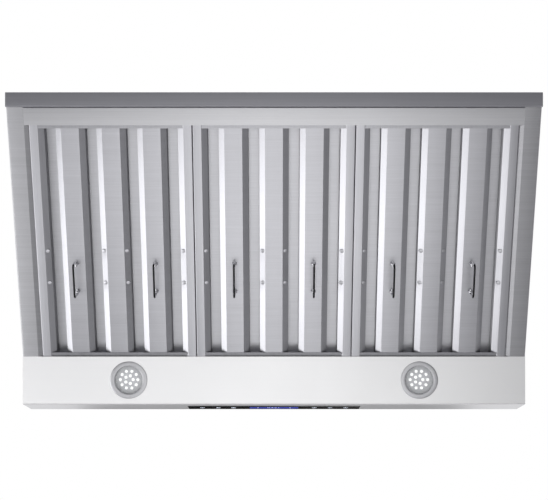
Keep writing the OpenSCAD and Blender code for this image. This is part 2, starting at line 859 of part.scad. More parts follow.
module lower_duct_cover() {
  color("silver") difference() {
    translate([0, 0, deck_z]) linear_extrude(lower_cover_height)
      polygon(folded(cover_path(cover_half, 0, -cover_depth), cover_sheet));
    foot_holes(cover_half);
  }
}

module foot_holes(x) {
  for (side = [-1, 1], y = foot_spots)
    translate([side * x, y, foot_z]) rotate([0, 90, 0]) screw_hole(10);
}

// Angle brackets that stand on the deck inside the lower cover
module cover_feet() {
  outside = cover_half - cover_sheet;
  path = [[outside - foot_size, deck_z], [outside, deck_z], [outside, deck_z + foot_size]];
  color("gray") difference() {
    for (side = [0, 1], y = foot_spots)
      mirror([side, 0, 0]) translate([0, y + foot_length / 2, 0]) rotate([90, 0, 0])
        linear_extrude(foot_length) polygon(folded(path, cover_sheet));
    foot_holes(outside);
  }
}

module lower_cover_screws() {
  color("silver") for (side = [-1, 1], y = foot_spots)
    translate([side * cover_half, y, foot_z]) rotate([0, side * 90, 0]) screw(6);
}

module upper_duct_cover() {
  vent_pitch = 2.5 * vent_width;
  vent_z = upper_top - bracket_height - vent_height - 15;
  color("silver") difference() {
    translate([0, 0, upper_bottom]) linear_extrude(upper_cover_height)
      polygon(folded(cover_path(upper_half, -upper_inset, -cover_depth + upper_inset), cover_sheet));
    for (i = [0:vent_count - 1])
      translate([-cover_width, -cover_depth / 2 + (i - (vent_count - 1) / 2) * vent_pitch - vent_width / 2, vent_z])
        cube([2 * cover_width, vent_width, vent_height]);
    bracket_screw_holes();
  }
}

module bracket_screw_holes() {
  for (side = [-1, 1])
    translate([side * upper_half, bracket_screw_y, bracket_z + bracket_height / 2])
      rotate([0, 90, 0]) screw_hole(10);
}

// Strap that is screwed to the wall and holds the top of the upper cover
module ceiling_bracket() {
  reach = upper_half - cover_sheet;
  path = [[-reach, -bracket_tab_end], [-reach, -bracket_step], [-bracket_plate_half, -bracket_step],
    [-bracket_plate_half, 0], [bracket_plate_half, 0], [bracket_plate_half, -bracket_step],
    [reach, -bracket_step], [reach, -bracket_tab_end]];
  color("gray") difference() {
    translate([0, 0, bracket_z]) linear_extrude(bracket_height) polygon(folded(path, -bracket_sheet));
    for (x = [-1, 1])
      translate([x * bracket_holes / 2, 0, bracket_z + bracket_height / 2])
        rotate([90, 0, 0]) cylinder(r = mount_radius, h = 10, center = true);
    bracket_screw_holes();
  }
}

module upper_cover_screws() {
  color("silver") for (side = [-1, 1])
    translate([side * (upper_half - cover_sheet - bracket_sheet), bracket_screw_y, bracket_z + bracket_height / 2])
      rotate([0, -side * 90, 0]) screw(cover_sheet + bracket_sheet);
}

// Box hung under the deck, open at the bottom
module junction_box() {
  color("lightgray") difference() {
    translate([box_near, box_y, deck_under - box_height]) cube([box_length, box_depth, box_height]);
    translate([box_near + box_wall, box_y + box_wall, deck_under - box_height - 1])
      cube([box_length - 2 * box_wall, box_depth - 2 * box_wall, box_height + 1 - box_wall]);
    translate([gland_spot[0], gland_spot[1], deck_under])
      cylinder(r = gland_thread + screw_gap, h = 10, center = true);
  }
}

module junction_box_cover() {
  color("silver") translate([box_near, box_y, deck_under - box_height - box_wall])
    cube([box_length, box_depth, box_wall]);
}

// Cable gland through the deck, with its nut inside the box
module cable_gland() {
  color("dimgray") translate([gland_spot[0], gland_spot[1], 0]) difference() {
    union() {
      translate([0, 0, deck_under - box_wall - 6]) cylinder(r = gland_thread, h = canopy_sheet + box_wall + 24);
      translate([0, 0, deck_z]) cylinder(r = gland_collar, h = 7, $fn = 6);
      translate([0, 0, deck_z + 7]) cylinder(r1 = gland_collar - 1.5, r2 = gland_thread, h = 13);
      translate([0, 0, deck_under - box_wall - 5]) cylinder(r = gland_collar, h = 5, $fn = 6);
    }
    cylinder(r = gland_bore, h = 6 * hood_depth, center = true);
  }
}

module control_box() {
  color("lightgray") difference() {
    translate([-control_box_near - box_length, box_y, deck_under - box_height])
      cube([box_length, box_depth, box_height]);
    translate([-control_box_near - box_length + box_wall, box_y + box_wall, deck_under - box_height + box_wall])
      cube([box_length - 2 * box_wall, box_depth - 2 * box_wall, box_height]);
  }
}

module control_board() {
  inset = box_wall + seat_gap;
  long = box_length - 2 * inset;
  deep = box_depth - 2 * inset;
  color("darkgreen") translate([-control_box_near - box_length + inset, box_y + inset,
    deck_under - box_height + box_wall]) union() {
    translate([0, 0, board_lift]) cube([long, deep, lamp_board]);
    for (x = [0.08, 0.92], y = [0.09, 0.91])
      translate([x * long, y * deep, 0]) cylinder(r = 0.03 * long, h = board_lift + lamp_board / 2);
    translate([0.12 * long, 0.46 * deep, board_lift]) cube([0.31 * long, 0.3 * deep, 0.4 * box_height]);
    translate([0.54 * long, 0.18 * deep, board_lift]) cube([0.21 * long, 0.57 * deep, 0.25 * box_height]);
  }
}

// Run capacitor strapped to the outer wall of the control box
module capacitor() {
  r = capacitor_radius;
  color("whitesmoke") translate([-control_box_near - box_length - r, box_y + box_depth / 2, deck_under - r])
    rotate([90, 0, 0]) union() {
      cylinder(r = r, h = capacitor_length, center = true);
      cylinder(r = r / 2, h = capacitor_length + r / 2, center = true);
    }
}

// One straight stretch of lead between two points
module lead(a, b) {
  run = b - a;
  translate(a) rotate([0, atan2(norm([run[0], run[1]]), run[2]), atan2(run[1], run[0])])
    cylinder(r = lead_radius, h = norm(run), $fn = 24);
}

module lead_ball(place) {
  translate(place) sphere(r = 1.5 * lead_radius, $fn = 24);
}

// Lead with a moulded ball at each bend
module lead_run(points) {
  for (i = [0:len(points) - 2])
    lead(points[i], points[i + 1]);
  for (i = [1:len(points) - 2])
    lead_ball(points[i]);
}

module wiring_harness() {
  side_z = deck_under - lead_radius - seat_gap;
  tray_x = -control_box_near - box_length / 2;
  low_z = panel_z + board_z + lamp_board + can_height + seat_gap;
  turn_z = low_z + 12;
  branch_x = glass_width / 4;
  motor_lead_x = -control_box_near + 12;
  housing_back = housing_face_y(turn_z) + seat_gap;
  color("black") {
    lead_run([[box_near - seat_gap, gland_spot[1], side_z], [-control_box_near + seat_gap, gland_spot[1], side_z]]);
    lead_run([[tray_x, box_y - seat_gap, deck_under - 30], [tray_x, box_y - 40, deck_under - 60],
      [-light_offset, light_y + 40, turn_z + 60], [-light_offset, light_y, turn_z],
      [light_offset, light_y, turn_z], [light_offset, light_y, low_z]]);
    lead([-light_offset, light_y, low_z], [-light_offset, light_y, turn_z]);
    lead_ball([branch_x, light_y, turn_z]);
    lead([branch_x, light_y, turn_z], [branch_x, housing_back, turn_z]);
    lead_run([[-control_box_near + seat_gap, gland_spot[1] + 15, deck_under - 40],
      [motor_lead_x, gland_spot[1] + 15, deck_under - 40], [motor_lead_x, blower_y, blower_z + 20],
      [spider_x - spider_thick - seat_gap, blower_y, blower_z + 20]]);
  }
}

// Depth of the back of the control housing at height z
function housing_face_y(z) = let(deep = canopy_sheet + housing_depth)
  -hood_depth + deep / cos(lip_angle) - (z - panel_z) * tan(lip_angle);

left_side_panel();
right_side_panel();
light_panel();
front_lip();
front_slope_panel();
top_deck();
back_panel();
rear_rail();
rear_trough();
filter_frame(-1);  // left_filter_frame
lower_baffles(-1);  // left_filter_lower_baffles
upper_baffles(-1);  // left_filter_upper_baffles
filter_handle(-1, -1);  // left_filter_left_handle
filter_handle(-1, 1);  // left_filter_right_handle
filter_frame(0);  // middle_filter_frame
lower_baffles(0);  // middle_filter_lower_baffles
upper_baffles(0);  // middle_filter_upper_baffles
filter_handle(0, -1);  // middle_filter_left_handle
filter_handle(0, 1);  // middle_filter_right_handle
filter_frame(1);  // right_filter_frame
lower_baffles(1);  // right_filter_lower_baffles
upper_baffles(1);  // right_filter_upper_baffles
filter_handle(1, -1);  // right_filter_left_handle
filter_handle(1, 1);  // right_filter_right_handle
light_trim(-1);  // left_light_trim
light_lens(-1);  // left_light_lens
lamp_board(-1);  // left_lamp_board
lamp_can(-1);  // left_lamp_can
light_trim(1);  // right_light_trim
light_lens(1);  // right_light_lens
lamp_board(1);  // right_lamp_board
lamp_can(1);  // right_lamp_can
control_glass();
control_housing();
touch_board();
blower_scroll();
impeller();
motor_body();
motor_shaft();
motor_bracket();
blower_screws();
duct_collar();
damper_pin();
front_damper_flap();
rear_damper_flap();
lower_duct_cover();
cover_feet();
lower_cover_screws();
upper_duct_cover();
ceiling_bracket();
upper_cover_screws();
junction_box();
junction_box_cover();
cable_gland();
control_box();
control_board();
capacitor();
wiring_harness();
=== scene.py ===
import math
import bpy
import numpy as np
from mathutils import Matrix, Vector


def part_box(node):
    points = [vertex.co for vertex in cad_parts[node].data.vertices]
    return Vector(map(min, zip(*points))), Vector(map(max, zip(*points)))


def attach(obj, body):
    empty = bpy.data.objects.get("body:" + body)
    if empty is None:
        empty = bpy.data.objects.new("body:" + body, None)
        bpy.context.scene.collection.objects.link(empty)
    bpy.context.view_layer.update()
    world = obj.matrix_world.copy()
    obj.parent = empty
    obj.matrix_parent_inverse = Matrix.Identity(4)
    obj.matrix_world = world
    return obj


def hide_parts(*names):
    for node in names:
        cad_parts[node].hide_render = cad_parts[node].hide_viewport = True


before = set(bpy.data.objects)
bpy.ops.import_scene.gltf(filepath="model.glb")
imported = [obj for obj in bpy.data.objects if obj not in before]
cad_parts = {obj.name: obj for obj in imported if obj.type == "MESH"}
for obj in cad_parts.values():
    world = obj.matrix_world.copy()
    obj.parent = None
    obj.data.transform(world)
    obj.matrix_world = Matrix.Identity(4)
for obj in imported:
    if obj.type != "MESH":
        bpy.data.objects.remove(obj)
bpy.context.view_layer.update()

# Side panels: two flat plates of brushed stainless steel, folded inwards along their sloping
# lower edge into a rim and a narrow leaning ledge that closes the gap beside the filters. They
# are spot welded under the bent front sheet and carry everything else.
SHEET = 0.0012
BEND = 0.0025
GAP = 0.0002
SLOPE = math.radians(14.0577)
SHARP = math.radians(32)

# Corners of the canopy's side view as depth and height, from the boxes of the CAD's own sheets.
rail_low, rail_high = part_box("rear_rail")
trough_low, trough_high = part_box("rear_trough")
panel_low, panel_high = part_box("light_panel")
lip_low, lip_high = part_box("front_lip")
deck_low, deck_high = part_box("top_deck")
HALF_WIDTH = rail_high.x
RAIL_FRONT, RAIL_TOP = rail_low.y, rail_high.z
RIM_REAR = (RAIL_FRONT, trough_low.z)
TROUGH_FRONT = trough_low.y
PANEL_Z = panel_low.z
RIM_FRONT = (panel_high.y, PANEL_Z)
LIP_FOOT = (panel_low.y, PANEL_Z)
LIP_TOP = (lip_low.y, lip_high.z)
DECK_Z = deck_high.z
DECK_FRONT = (deck_low.y, DECK_Z)

# The fold starts a little above the rim line, turns in as the rim up to RIM_EDGE, and leans on
# from there as the ledge.
FOLD_TOP = BEND + 0.0001
RIM_EDGE = 0.4285
LEDGE_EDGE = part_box("right_side_panel")[0].x
LEDGE_RISE = 0.0040
LEDGE_BEND = 0.001


class Wire:
    """A socket of a material: + and * on it add Math nodes, and new() adds any other node."""

    def __init__(self, tree, socket=None):
        self.tree = tree
        self.socket = socket

    def new(self, kind, settings=None, sockets=None, out=0):
        """Adds a node, makes its settings, fills or links its sockets, gives one of its outputs."""
        node = self.tree.nodes.new(kind)
        for name, value in (settings or {}).items():
            setattr(node, name, value)
        for key, value in (sockets or {}).items():
            if isinstance(value, Wire):
                self.tree.links.new(value.socket, node.inputs[key])
            else:
                node.inputs[key].default_value = value
        return Wire(self.tree, node.outputs[out]) if node.outputs else None

    def maths(self, operation, a, b):
        """Math node on two wires or numbers."""
        return self.new("ShaderNodeMath", {"operation": operation}, {0: a, 1: b})

    def __add__(self, other):
        return self.maths("ADD", self, other)

    __radd__ = __add__

    def __mul__(self, other):
        return self.maths("MULTIPLY", self, other)

    __rmul__ = __mul__

    def mixed(self, dark, light):
        """Colour between dark and light, each a tone or a wire, with this wire as the factor."""
        dark, light = [tone if isinstance(tone, Wire) else (*tone, 1.0) for tone in (dark, light)]
        return self.new("ShaderNodeMix", {"data_type": "RGBA"}, {0: self, 6: dark, 7: light}, out=2)

    def noise(self, scales, detail=2.0, roughness=0.5):
        """Noise on this place: that many features a metre, or as many along X, Y and Z."""
        stretch = {"Vector": self, "Scale": np.broadcast_to(scales, 3).tolist()}
        place = self.new("ShaderNodeMapping", {}, stretch)
        sockets = {"Vector": place, "Scale": 1.0, "Detail": detail, "Roughness": roughness}
        return self.new("ShaderNodeTexNoise", {}, sockets)

    def bump(self, strength, distance):
        """Normal of a surface whose height is this wire."""
        sockets = {"Strength": strength, "Distance": distance, "Height": self}
        return self.new("ShaderNodeBump", {}, sockets)


def finish(name, paint):
    """Material whose shader gets the sockets that paint(place) gives for the object coordinates."""
    made = bpy.data.materials.new(name)
    made.use_nodes = True
    made.node_tree.nodes.clear()
    place = Wire(made.node_tree).new("ShaderNodeTexCoord", out="Object")
    shader = place.new("ShaderNodeBsdfPrincipled", {}, paint(place))
    place.new("ShaderNodeOutputMaterial", {}, {"Surface": shader})
    return made


def shades(tone, low, high):
    """Dark and light shade of a tone: the tone times low and times high, but never above 1."""
    return np.minimum(np.outer([low, high], tone), 1.0)


def brushed_steel(name, tone, scales, rough=0.34, groove=0.12, streaks=0.16):
    """Brushed stainless sheet: a noise stretched along the brush line gives the streaks,
    a wider one the bands left by the belt, and a round one faint smudges."""

    def paint(place):
        fine = place.noise(scales, 3.0, 0.6)
        band = place.noise(np.multiply(scales, 0.16), 1.0)
        smudge = place.noise(7.0, 3.0)
        streak = fine * 0.7 + band * 0.3
        return {"Base Color": streak.mixed(*shades(tone, 1 - streaks, 1 + streaks)), "Metallic": 1.0,
                "Roughness": rough - 0.09 + streak * 0.12 + smudge * 0.06,
                "Normal": fine.bump(groove, 0.0003)}

    return finish(name, paint)


def solid(name, parts, body, skin, slot, *nodes):
    """Object of closed shells that rides a body and takes the place of CAD nodes. Its slot is not
    used.

    A shell whose faces enclose a negative volume is turned over. Six times that volume is the sum
    of p0 . (p1 x p2) over the triangles of each face's fan.
    """
    points, faces, start = [], [], 0
    for spots, quads, caps in parts:
        fans = [quads[:, [0, 1, 2]], quads[:, [0, 2, 3]]]
        fans += [np.stack([np.full(len(cap) - 2, cap[0]), cap[1:-1], cap[2:]], 1) for cap in caps]
        corners = (spots - spots.mean(axis=0))[np.vstack(fans)]
        volume = np.einsum("ij,ij->", corners[:, 0], np.cross(corners[:, 1], corners[:, 2]))
        step = 1 if volume > 0 else -1
        faces += (quads[:, ::step] + start).tolist()
        faces += [(cap[::step] + start).tolist() for cap in caps]
        points.append(spots)
        start += len(spots)
    mesh = bpy.data.meshes.new(name)
    mesh.from_pydata(np.vstack(points).tolist(), [], faces)
    mesh.shade_smooth()
    mesh.set_sharp_from_angle(angle=SHARP)
    mesh.materials.append(skin)
    made = bpy.data.objects.new(name, mesh)
    bpy.context.collection.objects.link(made)
    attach(made, body)
    if nodes:
        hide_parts(*nodes)


def rounded(corners, radii, steps=6):
    """Line with an arc in place of each inner corner, and its unit left-hand normals.

    An arc that turns by a with radius r starts r tan(a/2) before its corner; its points are the
    arc's centre minus r times the left-hand normal, which turns evenly from one leg to the next.
    """
    p = np.asarray(corners, float)
    leg = np.diff(p, axis=0)
    leg /= np.linalg.norm(leg, axis=1)[:, None]
    heading = np.arctan2(leg[:, 1], leg[:, 0])
    turn = (np.diff(heading) + np.pi) % (2 * np.pi) - np.pi
    reach = np.broadcast_to(radii, turn.shape) * np.sign(turn)
    start = p[1:-1] - leg[:-1] * (reach * np.tan(turn / 2))[:, None]
    angle = heading[:-1, None] + turn[:, None] * np.linspace(0, 1, steps + 1)
    left = np.stack([-np.sin(angle), np.cos(angle)], -1)
    arc = start[:, None] + (left[:, :1] - left) * reach[:, None, None]
    ends = np.stack([-leg[:, 1], leg[:, 0]], -1)
    return (np.vstack([p[:1], arc.reshape(-1, 2), p[-1:]]),
            np.vstack([ends[:1], left.reshape(-1, 2), ends[-1:]]))


def shell(outer, inner, keep=None):
    """Closed sheet between two grids of points. A cell that keep leaves out is an opening, and
    every edge that only one kept cell uses gets a wall from the outer to the inner grid."""
    rows, columns = outer.shape[:2]
    i, j = np.nonzero(np.ones((rows - 1, columns - 1), bool) if keep is None else keep)
    index = np.arange(rows * columns).reshape(rows, columns)
    face = np.stack([index[i, j], index[i + 1, j], index[i + 1, j + 1], index[i, j + 1]], 1)
    edge = np.vstack([face[:, [k, (k + 1) % 4]] for k in range(4)])
    many = rows * columns
    rim = edge[~np.isin(edge[:, 0] * many + edge[:, 1], edge[:, 1] * many + edge[:, 0])]
    wall = np.stack([rim[:, 1], rim[:, 0], rim[:, 0] + many, rim[:, 1] + many], 1)
    quads = np.vstack([face, face[:, ::-1] + many, wall])
    used, quads = np.unique(quads, return_inverse=True)
    points = np.vstack([outer.reshape(-1, 3), inner.reshape(-1, 3)])[used]
    return points, quads.reshape(-1, 4), []


def carried(line, thick, stations, place, keep=None):
    """Sheet whose section is a line with its normals, thick along them, carried over stations.

    place(a, b, t) gives the point for the section's two coordinates at station t.
    """
    points, normals = line
    t = np.asarray(stations, float)[None, :]
    back = points + normals * thick
    return shell(place(points[:, :1], points[:, 1:], t), place(back[:, :1], back[:, 1:], t), keep)


def at(x, y, z):
    """Points from coordinates whose shapes fit together."""
    return np.stack(np.broadcast_arrays(x, y, z), -1)


def rim_line(y):
    """Height of the underside of the rims at depth y: a straight line from rear to front."""
    return RIM_REAR[1] + (RIM_REAR[0] - y) * math.tan(SLOPE)


# The side panels' steel is toned darker than the front sheet's: painted shade.
side_steel_painted_dark = brushed_steel("side_steel_painted_dark", (0.49, 0.49, 0.51), (5.0, 900.0, 5.0),
                           rough=0.44, groove=0.6, streaks=0.22)

# Depth and lower edge of a plate from rear to front: on the rail, along the rim, on the light
# panel and up to the lip. Its upper edge lies under the deck and the sloping front. It stays a
# few tenths of a millimetre to two millimetres clear of its neighbours.
plate_y, plate_low = np.array([
    (-GAP, RAIL_TOP), (RAIL_FRONT + GAP, RAIL_TOP),
    (RAIL_FRONT - GAP, 0), (DECK_FRONT[0], 0), (RIM_FRONT[0] + 0.0001, 0),
    (RIM_FRONT[0] - 0.0003, PANEL_Z + SHEET), (LIP_FOOT[0] + 0.0011, PANEL_Z + SHEET),
    (LIP_TOP[0] + 0.0021, LIP_TOP[1] - 0.002)]).T
plate_low[2:5] = rim_line(plate_y[2:5]) + FOLD_TOP
plate_high = np.interp(-plate_y, [0, 0.0005 - DECK_FRONT[0], -LIP_TOP[0] - SHEET],
                       [DECK_Z - SHEET, DECK_Z - SHEET, LIP_TOP[1] + GAP])
fold = rounded([(HALF_WIDTH, FOLD_TOP), (HALF_WIDTH, 0), (RIM_EDGE, 0), (LEDGE_EDGE, LEDGE_RISE)],
               [BEND, LEDGE_BEND])
keep = np.ones((len(fold[0]) - 1, 2), bool)
keep[-1, 0] = False  # no ledge beside the trough
for side, name in ((-1, "left_side_panel"), (1, "right_side_panel")):
    plate = at(side * HALF_WIDTH, plate_y, np.stack([plate_low, plate_high]))
    rim = carried(fold, -SHEET, [RIM_REAR[0], TROUGH_FRONT, RIM_FRONT[0]],
                  lambda x, z, y: at(side * x, y, rim_line(y) + z), keep)
    solid(name + "_sheet", [shell(plate, plate - [side * SHEET, 0, 0]), rim],
          "canopy", side_steel_painted_dark, "canopy_steel", name)

# Front sheet: light panel, lip and sloping front, then the flat deck, bent from brushed
# stainless steel. The light panel is punched for two lights, the lip for the touch glass.
BEND_STEPS = 8
HALF_BEND = BEND_STEPS // 2 + 1
FRONT_LINE = rounded([RIM_FRONT, LIP_FOOT, LIP_TOP, DECK_FRONT, (0.0, DECK_Z)], BEND, BEND_STEPS)
# Numbers of the points halfway round its three bends, where the pieces of the sheet meet.
MID_FOOT, MID_TOP, MID_DECK = HALF_BEND + np.arange(3) * (BEND_STEPS + 1)

# A light's hole has a radius, and the grid bends round it within a square of that half side.
light_low, light_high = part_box("right_light_trim")
LIGHT_X, LIGHT_Y = (light_low.x + light_high.x) / 2, (light_low.y + light_high.y) / 2
LIGHT_HOLE = 0.0299
LIGHT_SQUARE = 0.037
HAIR = 1e-6  # far below any size, and keeps a division by zero out

# The glass window has a half width and reaches this far up the lip, the blower's opening in the
# deck has a half width and lies between two depths.
GLASS_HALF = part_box("control_glass")[1].x
GLASS_GAP = 0.0003
WINDOW = (0.0217, 0.0563)
BLOWER_HALF = 0.085
BLOWER_HOLE = (-0.18, -0.059)


def part_of(line, first, last):
    """Stretch of a line, from the first point up to but not including the last."""
    return line[0][first:last], line[1][first:last]


def with_points(line, before, extra):
    """Line with extra points put in before one of its points, on the straight leg that ends
    there, so that they take the normal of the point that begins the leg."""
    points, normals = line
    same = np.tile(normals[before - 1], (len(extra), 1))
    return (np.vstack([points[:before], extra, points[before:]]),
            np.vstack([normals[:before], same, normals[before:]]))


def across(y, z, x):
    """Point of a section drawn in depth and height, at width x."""
    return at(x, y, z)


def hole_lines(centre):
    """Grid lines around a light's hole, at even angles over its quarters, and on out to the sides
    of the square in which the grid bends round the hole."""
    ring = LIGHT_HOLE * np.tan(np.linspace(-np.pi / 4, np.pi / 4, 13))
    halfway = (LIGHT_HOLE + LIGHT_SQUARE) / 2
    return centre + np.hstack([-LIGHT_SQUARE, -halfway, ring, halfway, LIGHT_SQUARE])


def pulled_round(x, y, centre):
    """Square rings of grid points around a light become circles: a ring at Chebyshev distance s
    moves to radius s, fully at the hole's edge and not at all at the square's sides."""
    dx, dy = x - centre, y - LIGHT_Y
    s = np.maximum(np.abs(dx), np.abs(dy))
    amount = np.clip((LIGHT_SQUARE - s) / (LIGHT_SQUARE - LIGHT_HOLE), 0, 1)
    grow = 1 + amount * (s / np.maximum(np.hypot(dx, dy), HAIR) - 1)
    return centre + dx * grow, LIGHT_Y + dy * grow, s < LIGHT_HOLE - HAIR


def opened(line):
    """Cells to keep of a sheet three cells wide: all but the middle one after its first bend."""
    keep = np.ones((len(line[0]) - 1, 3), bool)
    keep[HALF_BEND, 1] = False
    return keep


# The light panel's steel gets a near-white tone, far lighter than the rest of the same sheet: painted
# light.
panel_steel_painted_light = brushed_steel("panel_steel_painted_light", (0.99, 0.99, 1.0), (5.0, 900.0, 900.0),
                            rough=0.45, groove=0.05, streaks=0.03)
rows = hole_lines(LIGHT_Y)[::-1]
points, normals = with_points(part_of(FRONT_LINE, 0, MID_FOOT + 1), 1,
                              np.stack([rows, np.full(len(rows), PANEL_Z)], 1))
x = np.hstack([-HALF_WIDTH, hole_lines(-LIGHT_X), 0, hole_lines(LIGHT_X), HALF_WIDTH])
x, y = np.broadcast_arrays(x, points[:, :1])
keep = np.ones((x.shape[0] - 1, x.shape[1] - 1), bool)
for light in (-LIGHT_X, LIGHT_X):
    x, y, hole = pulled_round(x, y, light)
    keep &= ~(hole[:-1, :-1] | hole[1:, 1:] | hole[:-1, 1:] | hole[1:, :-1])
outer = at(x, y, points[:, 1:])
inner = outer - SHEET * at(0, normals[:, :1], normals[:, 1:])
solid("light_panel_sheet", [shell(outer, inner, keep)],
      "canopy", panel_steel_painted_light, "canopy_steel", "light_panel")

canopy_steel = brushed_steel("canopy_steel", (0.60, 0.60, 0.62), (5.0, 900.0, 900.0))
lip_turn = math.atan2(LIP_FOOT[0] - LIP_TOP[0], LIP_TOP[1] - LIP_FOOT[1])
window = LIP_FOOT + np.array(WINDOW)[:, None] * [-math.sin(lip_turn), math.cos(lip_turn)]
lip_line = with_points(part_of(FRONT_LINE, MID_FOOT, MID_TOP + 1), HALF_BEND, window)
window_edge = GLASS_HALF + GLASS_GAP
solid("front_lip_sheet",
      [carried(lip_line, -SHEET, [-HALF_WIDTH, -window_edge, window_edge, HALF_WIDTH], across,
               opened(lip_line))],
      "canopy", canopy_steel, "canopy_steel", "front_lip")
solid("front_slope_sheet",
      [carried(part_of(FRONT_LINE, MID_TOP, MID_DECK + 1), -SHEET, [-HALF_WIDTH, HALF_WIDTH], across)],
      "canopy", canopy_steel, "canopy_steel", "front_slope_panel")
deck_line = with_points(part_of(FRONT_LINE, MID_DECK, None), HALF_BEND,
                        [(y, DECK_Z) for y in BLOWER_HOLE])
solid("deck_sheet",
      [carried(deck_line, -SHEET, [-HALF_WIDTH, -BLOWER_HALF, BLOWER_HALF, HALF_WIDTH], across,
               opened(deck_line))],
      "canopy", canopy_steel, "canopy_steel", "top_deck")

# Back panel and rear rail: flat galvanised back with the wall screw holes, and a U-shaped
# rail of brushed steel along its foot, closed with a welded plate at each end.
RAIL_FOOT = rail_low.z
RAIL_BEND = 0.002
END_INSET = 0.0001


def lofted(rings, hoop=False):
    """Closed solid through rings of points. In a hoop the last ring meets the first one, and
    otherwise both of them get a flat cap."""
    index = np.arange(rings.shape[0] * rings.shape[1]).reshape(rings.shape[:2])
    a, b = (index, np.roll(index, -1, 0)) if hoop else (index[:-1], index[1:])
    quads = np.stack([a, np.roll(a, -1, 1), np.roll(b, -1, 1), b], -1).reshape(-1, 4)
    return rings.reshape(-1, 3), quads, [] if hoop else [index[0][::-1], index[-1]]


# The rail's steel is toned darker than the canopy's other steel: painted shade.
rail_steel_painted_dark = brushed_steel("rail_steel_painted_dark", (0.38, 0.38, 0.41), (5.0, 700.0, 700.0), rough=0.48)
rail_line = rounded([(RAIL_FRONT, RAIL_TOP), (RAIL_FRONT, RAIL_FOOT), (0, RAIL_FOOT), (0, RAIL_TOP)],
                    RAIL_BEND)
rail = [carried(rail_line, SHEET, [-HALF_WIDTH, HALF_WIDTH], across)]
end_y, end_z = (rail_line[0] + rail_line[1] * END_INSET).T
for end in (-HALF_WIDTH, HALF_WIDTH - SHEET):
    rail.append(lofted(at(np.array([[end], [end + SHEET]]), end_y, end_z)))
solid("rear_rail_channel", rail, "canopy", rail_steel_painted_dark, "canopy_steel", "rear_rail")


def coat(skin, *names):
    """The CAD pieces keep their shape and get this material."""
    for name in names:
        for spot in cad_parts[name].material_slots:
            spot.material = skin


def zinc(name, tone, rough=0.42):
    """Galvanised sheet: zinc crystals a few millimetres wide, each at its own grey, under a soft
    noise."""

    def paint(place):
        grain = place.new("ShaderNodeTexVoronoi", {"feature": "F1"},
                          {"Vector": place, "Scale": 160.0}, out="Color")
        shade = grain.new("ShaderNodeSeparateColor", {}, {0: grain}) * 0.7 + place.noise(25.0) * 0.3
        return {"Base Color": shade.mixed(*shades(tone, 0.8, 1.18)), "Metallic": 0.85,
                "Roughness": rough - 0.08 + shade * 0.2, "Normal": shade.bump(0.05, 0.0004)}

    return finish(name, paint)


galvanised_sheet = zinc("galvanised_sheet", (0.50, 0.51, 0.53))
coat(galvanised_sheet, "back_panel")

# Trough: a folded strip of brushed steel that hangs in front of the rear rail, carries the
# rear ends of the filters and holds the grease that drains from them.
TROUGH_TOP = -0.2312
TROUGH_BEND = 0.0015
TROUGH_HALF = trough_high.x
trough_line = rounded([(RAIL_FRONT, TROUGH_TOP), RIM_REAR, (TROUGH_FRONT, rim_line(TROUGH_FRONT))],
                      TROUGH_BEND)
solid("trough_strip", [carried(trough_line, -SHEET, [-TROUGH_HALF, TROUGH_HALF], across)],
      "canopy", canopy_steel, "canopy_steel", "rear_trough")

# Filter frames: four rails folded from thin stainless sheet, welded at the corners. The side
# rails end in a half baffle, the end rails hold the ends of the baffles in their channels.
# HALF_BAFFLE has the edge and foot of its flank as width and height. END_RAILS has the place of
# each end rail up the slope and how far its flanges reach along it.
PLACES = {"left": -1, "middle": 0, "right": 1}
frame_low, frame_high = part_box("middle_filter_frame")
FILTER_PITCH = frame_low.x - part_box("left_filter_frame")[0].x
FILTER_REAR = 0.02293
FILTER_FRONT = 0.45359
FILTER_LIFT = 0.0015
FILTER_SHEET = 0.001
FILTER_BEND = 0.0014
FRAME_HALF = frame_high.x
FRAME_TALL = 0.026
FLANGE = 0.01
RAIL_ENDS = (FILTER_REAR + 0.0006, FILTER_FRONT - 0.0006)
END_RAIL_HALF = 0.1388
END_RAIL_LIFT = 0.0016
HALF_BAFFLE = ((0.115, 0.006), (0.125, 0.0))
END_RAILS = ((FILTER_REAR, 0.0135), (FILTER_FRONT, -0.01))
BOSS_V = (0.2536, 0.3122)
BOSS_HALF_WIDE = 0.0038
BOSS_HALF_LONG = 0.0034
BOSS_LEAN = 0.19


def on_filter(place):
    """Point for width u, height w and distance v up the slope, measured in that filter."""

    def spot(u, w, v):
        lift = w + FILTER_LIFT
        return at(place * FILTER_PITCH - u,
                  RIM_REAR[0] - v * math.cos(SLOPE) + lift * math.sin(SLOPE),
                  RIM_REAR[1] + v * math.sin(SLOPE) + lift * math.cos(SLOPE))

    return spot


def full_turn(count):
    """That many even angles round a circle."""
    return np.linspace(0, 2 * np.pi, count, endpoint=False)


def boss(spot, u, w, v, lean):
    """Low oval boss pressed out of a sloping flank. Its rings lie at these heights, drawn in to
    these shares of its size: upright walls, then a slightly crowned end that leans by about a
    third as much as the flank does."""
    draw = np.array([1.0, 1.0, 0.95, 0.6])[:, None]
    rise = np.array([0.004, -0.0012, -0.0015, -0.0018])[:, None]
    turn = full_turn(24)
    reach = BOSS_HALF_WIDE * draw * np.cos(turn)
    return lofted(spot(u + reach, w + rise + lean * reach, v + BOSS_HALF_LONG * draw * np.sin(turn)))


def bosses(spot, flank, lean):
    """Two bosses on the middle of a flank and two on its mirror image, which leans the other way."""
    u, w = np.mean(flank, axis=0)
    return [boss(spot, side * u, w, v, side * lean) for side in (-1, 1) for v in BOSS_V]


